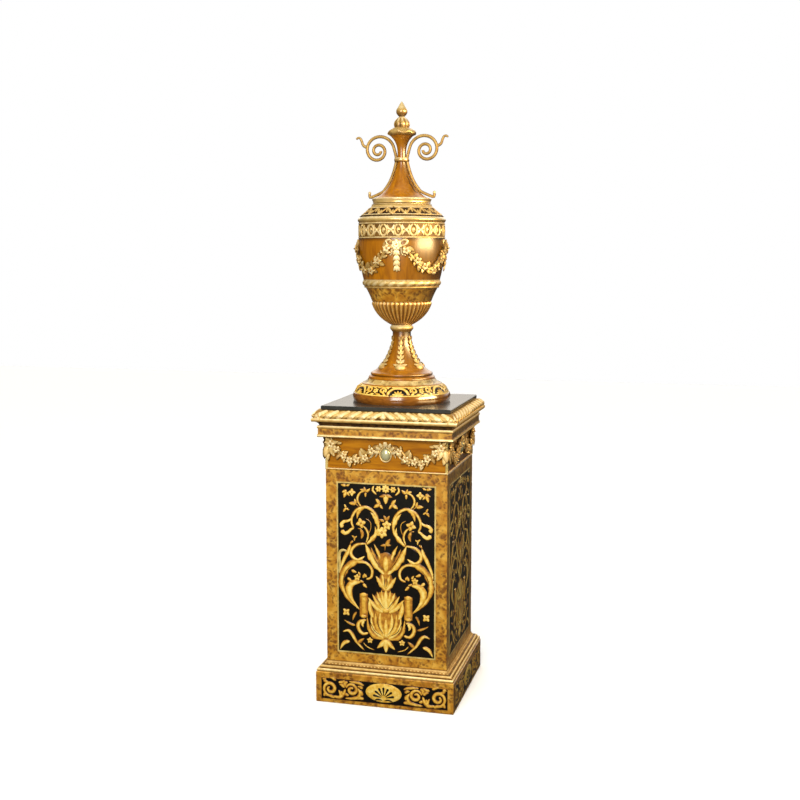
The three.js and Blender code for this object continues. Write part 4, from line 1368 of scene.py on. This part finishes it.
radius, clasp_foot, clasp_top = span("spire_clasp")
clasp = turned(
    (CLASP_BORE, clasp_foot + 3),
    (radius - 2, clasp_foot + 3, 0.3),
    ((radius, (clasp_foot + clasp_top) / 2), (radius - 2, clasp_top - 3, 1.0)),
    (CLASP_BORE, clasp_top - 3),
    (CLASP_BORE, clasp_foot + 3),
    sides=CLASP_SIDES,
)
finished(clasp, "gilt_spire_clasp", [burnished], ["spire_clasp"])

# Scroll straps: two bars of gilt metal, bent cold. Each starts in a small curl on the ring, climbs the
# spire, passes under the clasp and rolls out into a volute with a tendril.
STRAP_HALF_WIDE = 5.0
STRAP_HALF_THICK = 4.8
STRAP_CURL = ((99, 1508), (99, 1502), (94, 1498.5))
CURL_KNOB = (99, 1510)
VOLUTE_EYE = Vector((73, 1634))
VOLUTE_RADIUS = 41
VOLUTE_SHRINK = 0.22
VOLUTE_QUARTERS = 7
VOLUTE_STEPS = 4
TENDRIL = ((27, 12), (37, 12), (46, 18), (50, 29), (55, 38), (63, 39), (66, 34))
strap_line = [Vector(point) for point in STRAP_CURL]
for begin, end in zip(spire_line[1:], spire_line[2:]):
    step = Vector((end[0] - begin[0], end[1] - begin[1])).normalized()
    strap_line.append(Vector(end[:2]) + Vector((step.y, -step.x)) * STRAP_HALF_THICK)
strap_line.append(Vector((NECK_RADIUS + STRAP_HALF_THICK, clasp_top)))
for step in range(-VOLUTE_STEPS, VOLUTE_QUARTERS * VOLUTE_STEPS + 1):
    quarters = step / VOLUTE_STEPS
    angle = math.radians(90 * (1 - quarters))
    radius = VOLUTE_RADIUS * math.exp(-VOLUTE_SHRINK * quarters)
    strap_line.append(VOLUTE_EYE + Vector((math.cos(angle), math.sin(angle))) * radius)
tendril = [VOLUTE_EYE + Vector(point) for point in TENDRIL]
for side, hand in (("right", 1), ("left", -1)):
    strap = blank()
    # The strap's front is pale as painted highlight, its edges and back dark as painted shade.
    stroke(strap, [(hand * x, z) for x, z in strap_line], ribbon_form(STRAP_HALF_THICK, 0.9),
           STRAP_HALF_WIDE, rings=3 * len(strap_line), under=1.0, tones=(0.05, 0.65))
    stroke(strap, [(hand * x, z) for x, z in tendril], lambda share: STRAP_HALF_THICK - 1.8 * share,
           3.8, under=1.0, tones=(0.05, 0.65))
    bead(strap, (hand * CURL_KNOB[0], CURL_KNOB[1]), 4.5, 5.5, 5, tones=(0.5, 1.0))
    for v in strap.verts:
        v.co = (v.co.x, -v.co.z, v.co.y)
    finished(strap, f"gilt_scroll_strap_{side}", [gilt], [f"scroll_strap_{side}"])

# Finial: cast gilt in one and chased. A scalloped disc closes the spire's mouth, and a ribbed knop on it
# carries a pointed bud.
DISC_TOP = 20
KNOP_FOOT = 25
KNOP_TOP = 53
KNOP_RADIUS = 25
BUD_RADIUS = 15.5
SCALLOPS = 8
SCALLOP_RISE = 0.25
KNOP_RIBS = 9
RIB_DEPTH = 0.1
radius, foot, top = span("finial")
finial = turned(
    (0, foot),
    (SPIRE_TOP_RADIUS, foot, 0.2),
    (SPIRE_TOP_RADIUS + 3, foot + 2, 0.45),
    ((radius + 7, foot + 8), (radius - 7, foot + 17, 0.65)),
    ((KNOP_RADIUS + 4, foot + 21), (KNOP_RADIUS - 3, foot + KNOP_FOOT, 0.4)),
    ((KNOP_RADIUS + 4, foot + 40), (BUD_RADIUS - 5, foot + KNOP_TOP, 1.15)),
    (BUD_RADIUS - 7, foot + 56, 0.1),
    ((BUD_RADIUS + 8, foot + 68), (BUD_RADIUS - 4, foot + 82, 0.85)),
    ((6, foot + 93), (0, top, 0.9)),
)
relief = finial.verts.layers.float["relief"]
for v in finial.verts:
    radius = math.hypot(v.co.x, v.co.y)
    up = v.co.z - foot
    if radius < 1 or up < 1:
        continue
    about = math.atan2(v.co.x, -v.co.y)
    if up < DISC_TOP and radius > SPIRE_TOP_RADIUS:
        v.co.z += SCALLOP_RISE * math.cos(SCALLOPS * about) * (radius - SPIRE_TOP_RADIUS)
    elif KNOP_FOOT < up < KNOP_TOP:
        hollow = abs(math.cos(KNOP_RIBS / 2 * about)) ** 3
        v.co.x *= 1 - RIB_DEPTH * hollow
        v.co.y *= 1 - RIB_DEPTH * hollow
        # The hollows between the ribs get painted shade.
        v[relief] *= 1 - 0.6 * hollow
finished(finial, "gilt_finial", [burnished], ["finial"])
